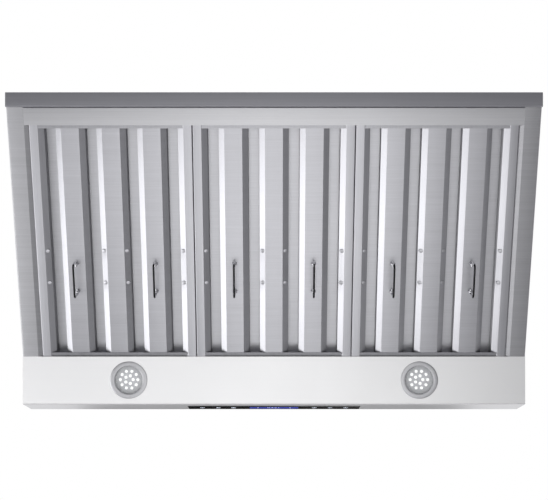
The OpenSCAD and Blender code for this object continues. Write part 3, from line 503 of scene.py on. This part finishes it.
filter_steel = brushed_steel("filter_steel", (0.56, 0.56, 0.59), (800.0, 9.0, 9.0), rough=0.36)
side_rail = rounded([*HALF_BAFFLE, (FRAME_HALF, 0), (FRAME_HALF, FRAME_TALL),
                     (FRAME_HALF - FLANGE, FRAME_TALL)], FILTER_BEND)
end_rails = []
for end, inward in END_RAILS:
    line = rounded([(end + inward, GAP), (end, END_RAIL_LIFT), (end, FRAME_TALL - GAP),
                    (end + inward, FRAME_TALL - GAP)], FILTER_BEND)
    end_rails.append((line, -math.copysign(FILTER_SHEET, inward)))
for side, place in PLACES.items():
    spot = on_filter(place)
    parts = [carried(side_rail, FILTER_SHEET, RAIL_ENDS, lambda u, w, v: spot(turn * u, w, v))
             for turn in (-1, 1)]
    parts += [carried(line, thick, [-END_RAIL_HALF, END_RAIL_HALF], lambda v, w, u: spot(u, w, v))
              for line, thick in end_rails]
    parts += bosses(spot, HALF_BAFFLE, -BOSS_LEAN)
    solid(side + "_filter_frame_rails", parts,
          side + "_filter", filter_steel, "filter_steel", side + "_filter_frame")

# Baffles: open channels roll formed from stainless sheet. Lower and upper channels overlap, so
# the air turns twice and leaves its grease. The outer lower ones carry welded handle lugs. Each
# flank has an edge and a foot as width and height. LUG_REACH lies between a handle and its lugs.
BAFFLE_PITCH = 0.0702
CHANNEL_ENDS = (FILTER_REAR + 0.0013, FILTER_FRONT - 0.0013)
LOWER_FLANK = ((0.0254, 0.0073), (0.0154, 0.0013))
UPPER_FLANK = ((0.0247, 0.0107), (0.0097, 0.0247))
HANDLE_V = FILTER_FRONT - 0.152
LUG_REACH = 0.0255
PIVOT_W = -0.0032
LUG_HALF = 0.004
LUG_FOOT = 0.0045
LUG_EYE = 0.0018
LUG_HALF_THICK = 0.0015
LUG_CHAMFER = 0.0003
WELD_OVAL = (0.0042, 0.0018)
WELD_W = 0.0012


def channel(edge, foot):
    """Section of an open channel: a flat between two flanks, from the edge and foot of one."""
    (edge_u, edge_w), (foot_u, foot_w) = edge, foot
    return rounded([(-edge_u, edge_w), (-foot_u, foot_w), (foot_u, foot_w), (edge_u, edge_w)],
                   FILTER_BEND)


ring = full_turn(32)[:, None]
lug_edge = np.where(np.sin(ring) < 0, LUG_HALF,
                    np.minimum(LUG_HALF / np.maximum(np.abs(np.cos(ring)), HAIR),
                               LUG_FOOT / np.maximum(np.sin(ring), HAIR)))
lug_reach = np.hstack([lug_edge - LUG_CHAMFER, lug_edge, lug_edge, lug_edge - LUG_CHAMFER,
                       np.full((len(ring), 2), LUG_EYE)])
lug_edge_thick = LUG_HALF_THICK - LUG_CHAMFER
lug_across = np.array([-LUG_HALF_THICK, -lug_edge_thick, lug_edge_thick, LUG_HALF_THICK,
                       LUG_HALF_THICK, -LUG_HALF_THICK])


def lug(spot, u, v):
    """Plate with a round end and an eye: its outline is a distance from the eye that depends on
    the angle, flat at the sides and at the foot."""
    return lofted(spot(u + lug_reach * np.cos(ring), PIVOT_W + lug_reach * np.sin(ring),
                       v + lug_across), hoop=True)


def weld(spot, u, v):
    """Weld bead round the foot of a lug: a thin ring of uneven thickness on an oval."""
    tube = full_turn(8)
    thick = 0.0006 + 0.00012 * np.sin(9 * ring) + 0.00008 * np.sin(14 * ring + 1)
    wide, long = [half + thick * np.cos(tube) for half in WELD_OVAL]
    return lofted(spot(u + wide * np.cos(ring), WELD_W + thick * np.sin(tube) * 0.9,
                       v + long * np.sin(ring)), hoop=True)


face_steel = brushed_steel("face_steel", (0.56, 0.56, 0.59), (9.0, 700.0, 700.0), rough=0.36)
# The upper channels get a lighter tone than the lower ones of the same steel: painted light.
inner_steel_painted_light = brushed_steel("inner_steel_painted_light", (0.68, 0.68, 0.71), (9.0, 700.0, 700.0), rough=0.42)
lower_line, upper_line = channel(*LOWER_FLANK), channel(*UPPER_FLANK)
for side, place in PLACES.items():
    spot = on_filter(place)
    lower = [carried(lower_line, FILTER_SHEET, CHANNEL_ENDS, lambda u, w, v: spot(u + shift, w, v))
             for shift in (-BAFFLE_PITCH, 0, BAFFLE_PITCH)]
    lower += bosses(spot, LOWER_FLANK, BOSS_LEAN)
    for u in (-BAFFLE_PITCH, BAFFLE_PITCH):
        for v in (HANDLE_V - LUG_REACH, HANDLE_V + LUG_REACH):
            lower += [lug(spot, u, v), weld(spot, u, v)]
    solid(side + "_lower_channels", lower,
          side + "_filter", face_steel, "filter_steel", side + "_filter_lower_baffles")
    upper = [carried(upper_line, -FILTER_SHEET, CHANNEL_ENDS, lambda u, w, v: spot(u + shift, w, v))
             for shift in np.array([-1.5, -0.5, 0.5, 1.5]) * BAFFLE_PITCH]
    solid(side + "_upper_channels", upper,
          side + "_filter", inner_steel_painted_light, "filter_steel", side + "_filter_upper_baffles")

# Filter handles: stainless wire bent into a bail, its long leg blackened for the grip and its
# two short ends turned inwards into the eyes of the lugs. It hangs down and swings both ways.
WIRE_RADIUS = 0.00175
BAIL_DEEP = 0.0255
BAIL_LEG = 0.030
BAIL_END = 0.021
BAIL_BENDS = (0.003, 0.006, 0.006, 0.003)
GRIP_DEEP = 0.0235
GRIP_FADE = 0.001
GRIP_TOP = RIM_REAR[0] * math.sin(SLOPE) + RIM_REAR[1] * math.cos(SLOPE) - GRIP_DEEP


def wire_paint(place):
    """Bright at the ends, black below the depth at which the long leg starts."""
    upright = (0.0, math.sin(SLOPE), math.cos(SLOPE))
    depth = place.new("ShaderNodeVectorMath", {"operation": "DOT_PRODUCT"},
                      {0: place, 1: upright}, out="Value")
    grip = depth.new("ShaderNodeMapRange", {},
                     {"Value": depth, "From Min": GRIP_TOP, "From Max": GRIP_TOP - GRIP_FADE})
    drawn = place.noise((40.0, 900.0, 900.0))
    bright = drawn.mixed((0.50, 0.50, 0.52), (0.70, 0.70, 0.72))
    black = drawn.mixed((0.015, 0.015, 0.016), (0.03, 0.03, 0.032))
    return {"Base Color": grip.mixed(bright, black), "Metallic": 1.0,
            "Roughness": place.noise(60.0) * 0.08 + 0.14, "Normal": drawn.bump(0.06, 0.0002)}


def wire(line, radius, place, sides=14):
    """Round wire: a circle of points in the plane of the line's normal and the third direction."""
    turn = full_turn(sides)
    points, normals = line[0][:, None], line[1][:, None]
    skin = points + normals * (radius * np.cos(turn))[..., None]
    return lofted(place(skin[..., 0], skin[..., 1], radius * np.sin(turn)))


handle_wire = finish("handle_wire", wire_paint)
bail = rounded([(-BAIL_END, 0), (-BAIL_LEG, 0), (-BAIL_LEG, -BAIL_DEEP),
                (BAIL_LEG, -BAIL_DEEP), (BAIL_LEG, 0), (BAIL_END, 0)], BAIL_BENDS, 8)
for side, place in PLACES.items():
    spot = on_filter(place)
    for hand, u in (("left", BAFFLE_PITCH), ("right", -BAFFLE_PITCH)):
        bent = wire(bail, WIRE_RADIUS, lambda v, w, aside: spot(u + aside, PIVOT_W + w, HANDLE_V + v))
        name = f"{side}_filter_{hand}"
        solid(name + "_bail", [bent], name + "_handle", handle_wire, "handle_wire", name + "_handle")

# Lights: a spun trim ring pushed up through the light panel, a lens on its ledge, and behind
# it a grey board with fifteen lamp beads under a small can.


def grained(name, tone, rough, relief=None, extra=None):
    """Plain finish. tone is a number of features a metre and the dark and light shade, rough is a
    number of features, the least roughness and what the noise adds, and relief is a number of
    features and a strength and height."""

    def paint(place):
        sockets = {"Base Color": place.noise(tone[0]).mixed(tone[1], tone[2]),
                   "Roughness": place.noise(rough[0]) * rough[2] + rough[1], **(extra or {})}
        if relief:
            sockets["Normal"] = place.noise(relief[0]).bump(relief[1], relief[2])
        return sockets

    return finish(name, paint)


def turned(profile, x, y, sides=64):
    """Circles about an upright axis. The profile gives their radii and their heights above the
    light panel's face, in millimetres."""
    radius, height = np.array(profile).T[:, :, None] / 1000
    turn = full_turn(sides)
    return at(x + radius * np.cos(turn), y + radius * np.sin(turn), PANEL_Z + height)


light_trim = grained("light_trim", tone=(300.0, (0.50, 0.50, 0.52), (0.62, 0.62, 0.64)),
                     rough=(500.0, 0.32, 0.12), relief=(900.0, 0.05, 0.0001),
                     extra={"Metallic": 0.9})
light_lens = grained("light_lens", tone=(90.0, (0.78, 0.80, 0.82), (0.9, 0.9, 0.92)),
                     rough=(200.0, 0.06, 0.06), relief=(400.0, 0.03, 0.0001),
                     extra={"Alpha": 0.22, "IOR": 1.49})
lamp_board = grained("lamp_board", tone=(250.0, (0.37, 0.38, 0.39), (0.44, 0.45, 0.46)),
                     rough=(120.0, 0.5, 0.1), relief=(700.0, 0.08, 0.0002))
lamp_beads = grained("lamp_beads", tone=(600.0, (0.92, 0.92, 0.9), (1.0, 1.0, 1.0)),
                     rough=(300.0, 0.3, 0.1),
                     extra={"Emission Color": (1.0, 1.0, 1.0, 1.0), "Emission Strength": 0.75})
TRIM = [(25.5, -0.5), (25.8, -1.1), (26.5, -1.5), (27.6, -1.6), (31.0, -1.45), (32.8, -1.3),
        (33.7, -0.9), (34.0, -0.4), (34.0, 0.0), (29.6, 0.0), (29.6, 12.0), (28.4, 12.0),
        (28.4, 1.2), (25.5, 1.2)]
LENS = [(27.4, 1.5), (28.1, 1.9), (28.1, 3.1), (27.4, 3.5)]
BOARD = [(28.1, 6.1), (28.1, 7.7)]
SPACER = [(28.1, 3.5), (28.1, 6.1), (26.6, 6.1), (26.6, 3.5)]
BEAD = [(0.5, 4.1), (1.2, 4.18), (1.9, 4.4), (2.45, 4.8), (2.7, 5.3), (2.75, 6.1)]
BEAD_RINGS = ((10, 0.016), (5, 0.0073))
for side, x in (("left", -LIGHT_X), ("right", LIGHT_X)):
    solid(side + "_trim_ring", [lofted(turned(TRIM, x, LIGHT_Y), hoop=True)],
          "canopy", light_trim, "light_trim", side + "_light_trim")
    solid(side + "_lens_disc", [lofted(turned(LENS, x, LIGHT_Y))],
          "canopy", light_lens, "light_lens", side + "_light_lens")
    solid(side + "_board_disc",
          [lofted(turned(BOARD, x, LIGHT_Y)), lofted(turned(SPACER, x, LIGHT_Y), hoop=True)],
          "canopy", lamp_board, "circuit_board", side + "_lamp_board")
    beads = [lofted(turned(BEAD, x + reach * math.cos(turn), LIGHT_Y + reach * math.sin(turn), 20))
             for count, reach in BEAD_RINGS for turn in np.pi + full_turn(count)]
    solid(side + "_lamp_bead_set", beads, "canopy", lamp_beads, "lamp_beads")
coat(galvanised_sheet, "left_lamp_can", "right_lamp_can")

# Touch glass: a strip of black glass in the window of the lip, with a lit display and six
# touch marks printed in white. A plastic tray behind it holds the touch board.
# Depths count into the hood from the lip's face, and INK holds those of a print's back and face.
GLASS_UP = 0.039
GLASS_HALF_TALL = 0.017
GLASS_CORNER = 0.0015
GLASS_RINGS = [(0.0012, 0), (-0.0006, 0), (-0.00085, 0.0002), (-0.00095, 0.0005)]
DISPLAY_HALF = (0.045, 0.009)
DISPLAY_CORNER = 0.001
DISPLAY_RINGS = [(-0.0008, 0), (-0.00097, 0)]
INK = (-0.0009, -0.00099)
LINE = 0.0003
DIGIT_PITCH = 0.007
DIGIT_WIDE = 0.0017
DIGIT_TALL = 0.0031
MARK_RADIUS = 0.0042
MARK_LINE = 0.0005
control_glass = finish("control_glass", lambda place: {
    "Base Color": place.noise(60.0).mixed((0.004, 0.004, 0.005), (0.012, 0.012, 0.014)),
    "Roughness": place.noise(30.0, 3.0) * 0.08 + 0.05, "Specular IOR Level": 0.1,
    "Normal": place.noise(50.0).bump(0.02, 0.0001)})
display_blue = finish("display_blue", lambda place: {
    "Base Color": (0.01, 0.02, 0.10, 1.0), "Roughness": place.noise(90.0) * 0.05 + 0.15,
    "Emission Color": place.noise(60.0).mixed((0.02, 0.03, 0.30), (0.06, 0.09, 0.62)),
    "Emission Strength": 0.7})
mark_white = grained("mark_white", tone=(900.0, (0.7, 0.75, 0.85), (0.9, 0.92, 0.95)),
                     rough=(300.0, 0.4, 0.1),
                     extra={"Emission Color": (0.75, 0.85, 1.0, 1.0), "Emission Strength": 0.8})


def on_lip(x, deep, up):
    """Point of the lip's face: x across, deep into the hood and up along the leaning face."""
    sin, cos = math.sin(lip_turn), math.cos(lip_turn)
    return at(x, LIP_FOOT[0] + deep * cos - up * sin, LIP_FOOT[1] + deep * sin + up * cos)


def tablet(half_x, half_up, corner, rings, x=0.0, up=0.0, steps=6):
    """Slab with rounded corners: quarter circles round the corners of a rectangle. rings lists how
    deep each ring of points lies and how far it is drawn in."""
    turn = (np.linspace(0, np.pi / 2, steps) + np.arange(4)[:, None] * np.pi / 2).ravel()
    side_x, side_up = np.repeat([1, -1, -1, 1], steps), np.repeat([1, 1, -1, -1], steps)
    deep, drawn = np.array(rings).T[:, :, None]
    radius = corner - drawn
    return lofted(on_lip(x + side_x * (half_x - corner) + radius * np.cos(turn), deep,
                         GLASS_UP + up + side_up * (half_up - corner) + radius * np.sin(turn)))


def stroke(x, up, half_x, half_up):
    """Printed bar with round corners."""
    return tablet(half_x, half_up, min(half_x, half_up) * 0.9, [(deep, 0) for deep in INK], x, up, 3)


def ring_mark(x):
    """Printed circle round a touch mark."""
    reach = MARK_RADIUS - np.array([0, 0, MARK_LINE, MARK_LINE])
    return lofted(on_lip(x + reach * np.cos(ring), np.array([*INK, *INK[::-1]]),
                         GLASS_UP + reach * np.sin(ring)), hoop=True)


solid("touch_glass_strip", [tablet(GLASS_HALF, GLASS_HALF_TALL, GLASS_CORNER, GLASS_RINGS)],
      "canopy", control_glass, "control_glass", "control_glass")
solid("display_window", [tablet(*DISPLAY_HALF, DISPLAY_CORNER, DISPLAY_RINGS)],
      "canopy", display_blue, "control_glass")

# Each segment of a digit has its place across and up, in half digits, and its half sizes.
FLAT, TALL = (0.0013, LINE), (LINE, 0.0012)
SEGMENTS = {"a": (0, 1, FLAT), "b": (1, 0.5, TALL), "c": (1, -0.5, TALL), "d": (0, -1, FLAT),
            "e": (-1, -0.5, TALL), "f": (-1, 0.5, TALL), "g": (0, 0, FLAT)}
DIGITS = {"0": "abcdef", "1": "bc", "2": "abged", "3": "abgcd"}
marks = []
for place, digit in enumerate("1320"):
    for segment in DIGITS[digit]:
        right, up, half = SEGMENTS[segment]
        marks.append(stroke((place - 1.5) * DIGIT_PITCH + right * DIGIT_WIDE, up * DIGIT_TALL, *half))
marks += [stroke(0, up, LINE, LINE) for up in (-0.0012, 0.0012)]
marks += [stroke(x, up, 0.0014, LINE) for x in (-0.030, 0.030) for up in (-0.003, 0, 0.003)]

# Bars inside each circle: a cross, two clock hands, a dot, a plus, a minus and an upright bar.
SIGNS = {-0.133: [(0, 0, 0.0004, 0.0019), (0, 0, 0.0019, 0.0004)],
         -0.104: [(0, 0.001, 0.0004, 0.0015), (0.0005, -0.0003, 0.0012, 0.0004)],
         -0.075: [(0, 0, 0.0012, 0.0012)],
         0.075: [(0, 0, 0.0019, 0.0004), (0, 0, 0.0004, 0.0019)],
         0.104: [(0, 0, 0.0019, 0.0004)],
         0.133: [(0, 0.0025, 0.0004, 0.002)]}
for x, bars in SIGNS.items():
    marks.append(ring_mark(x))
    marks += [stroke(x + right, up, *half) for right, up, *half in bars]
solid("touch_marks", marks, "canopy", mark_white, "control_glass")

black_plastic = grained("black_plastic", tone=(40.0, (0.018, 0.018, 0.02), (0.035, 0.035, 0.038)),
                        rough=(700.0, 0.42, 0.2), relief=(1500.0, 0.12, 0.0001))
coat(black_plastic, "control_housing", "cable_gland")


def circuit(name, tone):
    """Lacquered board: a fine grid of copper tracks shows through the lacquer."""

    def paint(place):
        track = place.new("ShaderNodeTexBrick", {"offset": 0.5}, {
            "Vector": place, "Scale": 90.0, "Mortar Size": 0.06,
            "Color1": (0, 0, 0, 1), "Color2": (0, 0, 0, 1), "Mortar": (1, 1, 1, 1)}, out="Fac")
        shade = track * 0.5 + place.noise(120.0) * 0.5
        return {"Base Color": shade.mixed(*shades(tone, 0.6, 1.5)),
                "Roughness": 0.3 + shade * 0.25, "Normal": shade.bump(0.15, 0.0002)}

    return finish(name, paint)


coat(circuit("circuit_board", (0.02, 0.12, 0.05)), "touch_board", "control_board")

# Blower: a spiral housing of galvanised sheet flanged to the deck, a sheet impeller on the
# shaft of a painted can motor, and the spider and screws that hold the motor.
impeller_sheet = zinc("impeller_sheet", (0.42, 0.43, 0.45), 0.36)
motor_paint = grained("motor_paint", tone=(60.0, (0.03, 0.032, 0.036), (0.06, 0.062, 0.068)),
                      rough=(500.0, 0.38, 0.2), relief=(800.0, 0.15, 0.0002))
rod_grain = (900.0, 30.0, 30.0)
bright_steel = grained("bright_steel", tone=(rod_grain, (0.5, 0.5, 0.52), (0.68, 0.68, 0.7)),
                       rough=(rod_grain, 0.18, 0.12), relief=(rod_grain, 0.05, 0.0001),
                       extra={"Metallic": 1.0})
screw_steel = grained("screw_steel", tone=(500.0, (0.42, 0.42, 0.44), (0.62, 0.62, 0.64)),
                      rough=(700.0, 0.25, 0.15), relief=(1200.0, 0.08, 0.0001),
                      extra={"Metallic": 1.0})
coat(galvanised_sheet, "blower_scroll", "motor_bracket")
coat(impeller_sheet, "impeller")
coat(motor_paint, "motor_body")
coat(bright_steel, "motor_shaft", "damper_pin")
coat(screw_steel, "blower_screws", "lower_cover_screws", "upper_cover_screws")

# Duct collar and damper: a round collar on a square base, with two thin flaps hung on one pin
# that the air lifts and that fall shut when the blower stops.
coat(zinc("collar_sheet", (0.52, 0.53, 0.55)), "duct_collar")
coat(zinc("flap_sheet", (0.60, 0.61, 0.63), 0.36), "front_damper_flap", "rear_damper_flap")

# Duct covers: two tall sleeves of brushed steel, bent from one sheet each, with their rear
# edges turned in. The upper one slides inside the lower and has vent slots near its top.
COVER_SHEET = 0.001
COVER_BEND = 0.002
COVER_FLANGE = 0.018
COVER_STEPS = 6
SLOT_Z = (0.445, 0.505)
SLOT_COUNT = 6
SLOT_PITCH = 0.02
SLOT_HALF = 0.004


def cover_line(low, high):
    """Section of a sleeve from above, from the corners of its box: both sides and the front, with
    the rear edges turned in."""
    half = high.x
    return rounded([(COVER_FLANGE - half, high.y), (-half, high.y), (-half, low.y), (half, low.y),
                    (half, high.y), (half - COVER_FLANGE, high.y)], COVER_BEND, COVER_STEPS)


cover_steel = brushed_steel("cover_steel", (0.58, 0.58, 0.60), (5.0, 5.0, 900.0))
low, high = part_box("lower_duct_cover")
solid("lower_cover_sleeve", [carried(cover_line(low, high), COVER_SHEET, [low.z, high.z], at)],
      "canopy", cover_steel, "canopy_steel", "lower_duct_cover")
low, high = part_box("upper_duct_cover")
slots = (low.y + high.y) / 2 + (np.arange(SLOT_COUNT)[:, None] - (SLOT_COUNT - 1) / 2) * SLOT_PITCH
slot_edges = (slots + [-SLOT_HALF, SLOT_HALF]).ravel()
count = len(slot_edges)
# Numbers of the points that end the straight left side and the straight right side.
left_end, right_end = 1 + (COVER_STEPS + 1) * np.array([1, 3])
sleeve = cover_line(low, high)
sleeve = with_points(sleeve, right_end, np.stack([np.full(count, high.x), slot_edges], 1))
sleeve = with_points(sleeve, left_end, np.stack([np.full(count, low.x), slot_edges[::-1]], 1))
keep = np.ones((len(sleeve[0]) - 1, 3), bool)
for first in (left_end, right_end + count):
    keep[first:first + count:2, 1] = False
solid("upper_cover_sleeve",
      [carried(sleeve, COVER_SHEET, [low.z, *SLOT_Z, high.z], at, keep)],
      "upper_cover", cover_steel, "canopy_steel", "upper_duct_cover")
coat(galvanised_sheet, "cover_feet", "ceiling_bracket")

# Wiring: folded boxes under the deck, a cable gland, the control board with its capacitor, and
# rubber-covered leads between them. The mains cable itself isn't part of the hood.
capacitor_case = grained("capacitor_case", tone=(80.0, (0.62, 0.62, 0.60), (0.75, 0.75, 0.73)),
                         rough=(300.0, 0.35, 0.15), relief=(900.0, 0.06, 0.0001))
lead_rubber = grained("lead_rubber", tone=(90.0, (0.02, 0.02, 0.022), (0.045, 0.045, 0.048)),
                      rough=(600.0, 0.5, 0.2), relief=(1000.0, 0.1, 0.0001))
coat(galvanised_sheet, "junction_box", "junction_box_cover", "control_box")
coat(capacitor_case, "capacitor")
coat(lead_rubber, "wiring_harness")

# Studio: a pale floor, soft lamps, a white background, and the camera looking straight up at the
# underside as in the photograph. Out of its sight a card with a painted pool of light in its middle
# and painted shade round it lies on the floor, and a black flag hangs high in front: the bare steel
# and the glass mirror them.
FLOOR_Z = -2.05
FLOOR_HALF = 20.0
# Middle and reach of the pool of light painted on the steel card.
PAINTED_POOL_MIDDLE = (-0.04, -0.9, FLOOR_Z)
PAINTED_POOL_REACH = 2.2
WORLD_LIGHT = 0.85
CAMERA_AT = (0.0, -0.2684, -1.864)
LENS_MM = 62.41
SENSOR_MM = 36.0


def stage_card(name, half, front, rear, z, skin):
    """Level rectangle for the studio."""
    mesh = bpy.data.meshes.new(name)
    mesh.from_pydata([(-half, front, z), (half, front, z), (half, rear, z), (-half, rear, z)],
                     [], [(0, 1, 2, 3)])
    mesh.materials.append(skin)
    card = bpy.data.objects.new(name, mesh)
    bpy.context.collection.objects.link(card)
    return card


def painted_pool_card_paint(place):
    """Card with a painted pool of light in its middle, pale there and falling off over about two
    metres to painted grey shade.
    """
    offset = place.new("ShaderNodeVectorMath", {"operation": "SUBTRACT"}, {0: place, 1: PAINTED_POOL_MIDDLE})
    away = offset.new("ShaderNodeVectorMath", {"operation": "ABSOLUTE"}, {0: offset})
    aside, along = [away.new("ShaderNodeSeparateXYZ", {}, {0: away}, out=axis) for axis in "XY"]
    reach = aside * 1.3 + along * 0.5 + aside * along * 0.8
    painted_pool = reach.new("ShaderNodeMapRange", {"interpolation_type": "SMOOTHSTEP"},
                     {"Value": reach, "From Min": 0.0, "From Max": PAINTED_POOL_REACH,
                      "To Min": 1.0, "To Max": 0.0})
    # Painted light: pale in the painted pool, grey painted shade further out.
    shade = painted_pool + place.noise(3.0) * 0.02
    return {"Base Color": shade.mixed((0.29, 0.29, 0.30), (0.94, 0.94, 0.94)),
            "Roughness": place.noise(30.0) * 0.1 + 0.8}


floor_paper = grained("floor_paper", tone=(3.0, (0.76, 0.76, 0.77), (0.80, 0.80, 0.80)),
                      rough=(30.0, 0.8, 0.1))
flag_black = grained("flag_black", tone=(2.0, (0.01, 0.01, 0.01), (0.02, 0.02, 0.02)),
                     rough=(30.0, 0.8, 0.1))
painted_pool_card = finish("painted_pool_card", painted_pool_card_paint)
stage_card("studio_floor", FLOOR_HALF, -FLOOR_HALF, FLOOR_HALF, FLOOR_Z, floor_paper)
steel_card = stage_card("steel_card", FLOOR_HALF, -FLOOR_HALF, FLOOR_HALF, FLOOR_Z + 0.01, painted_pool_card)
front_flag = stage_card("front_flag", half=0.9, front=-2.25, rear=-1.3, z=2.4, skin=flag_black)
steel_card.visible_camera = front_flag.visible_camera = False
steel_card.visible_diffuse = steel_card.visible_shadow = False

# The background lights the scene a little less than it shows to the camera, in mirrors and
# through the lenses, where it is white.
world = bpy.data.worlds.new("studio")
world.use_nodes = True
world.node_tree.nodes.clear()
sky = Wire(world.node_tree)
straight, mirrored, through = [sky.new("ShaderNodeLightPath", out=kind) for kind in
                               ("Is Camera Ray", "Is Glossy Ray", "Is Transmission Ray")]
seen = sky.maths("MAXIMUM", sky.maths("MAXIMUM", straight, mirrored), through)
strength = seen * (1 - WORLD_LIGHT) + WORLD_LIGHT
shine = sky.new("ShaderNodeBackground", {}, {"Color": (1, 1, 1, 1), "Strength": strength})
sky.new("ShaderNodeOutputWorld", {}, {"Surface": shine})
bpy.context.scene.world = world


def studio_lamp(name, kind, power, place, aim):
    """Lamp that shines from place to aim: tipped about the width, then turned about the upright."""
    lamp = bpy.data.lights.new(name, kind)
    lamp.energy = power
    bulb = bpy.data.objects.new(name, lamp)
    bpy.context.collection.objects.link(bulb)
    bulb.location = place
    x, y, z = np.subtract(aim, place)
    bulb.rotation_euler = (math.acos(-z / math.hypot(x, y, z)), 0, math.atan2(y, x) - math.pi / 2)
    bulb.visible_camera = False
    return lamp


left_key = studio_lamp("left_key", "AREA", power=21.0, place=(2.12, -1.22, -1.24),
                       aim=(0.0, -1.22, 0.55))
left_key.shape, left_key.size, left_key.size_y = "RECTANGLE", 1.4, 2.05
pool_light = studio_lamp("pool_light", "SPOT", power=235.0, place=(0.0, -2.6, -0.1),
                         aim=(0.05, -0.95, FLOOR_Z))
pool_light.spot_size, pool_light.spot_blend = math.radians(60), 1.0
pool_light.shadow_soft_size = 0.3

lens = bpy.data.cameras.new("camera")
lens.lens, lens.sensor_width = LENS_MM, SENSOR_MM
camera = bpy.data.objects.new("camera", lens)
bpy.context.collection.objects.link(camera)
camera.location = CAMERA_AT
camera.rotation_euler = (0, math.pi, 0)
bpy.context.scene.camera = camera
bpy.context.scene.view_settings.view_transform = "Standard"
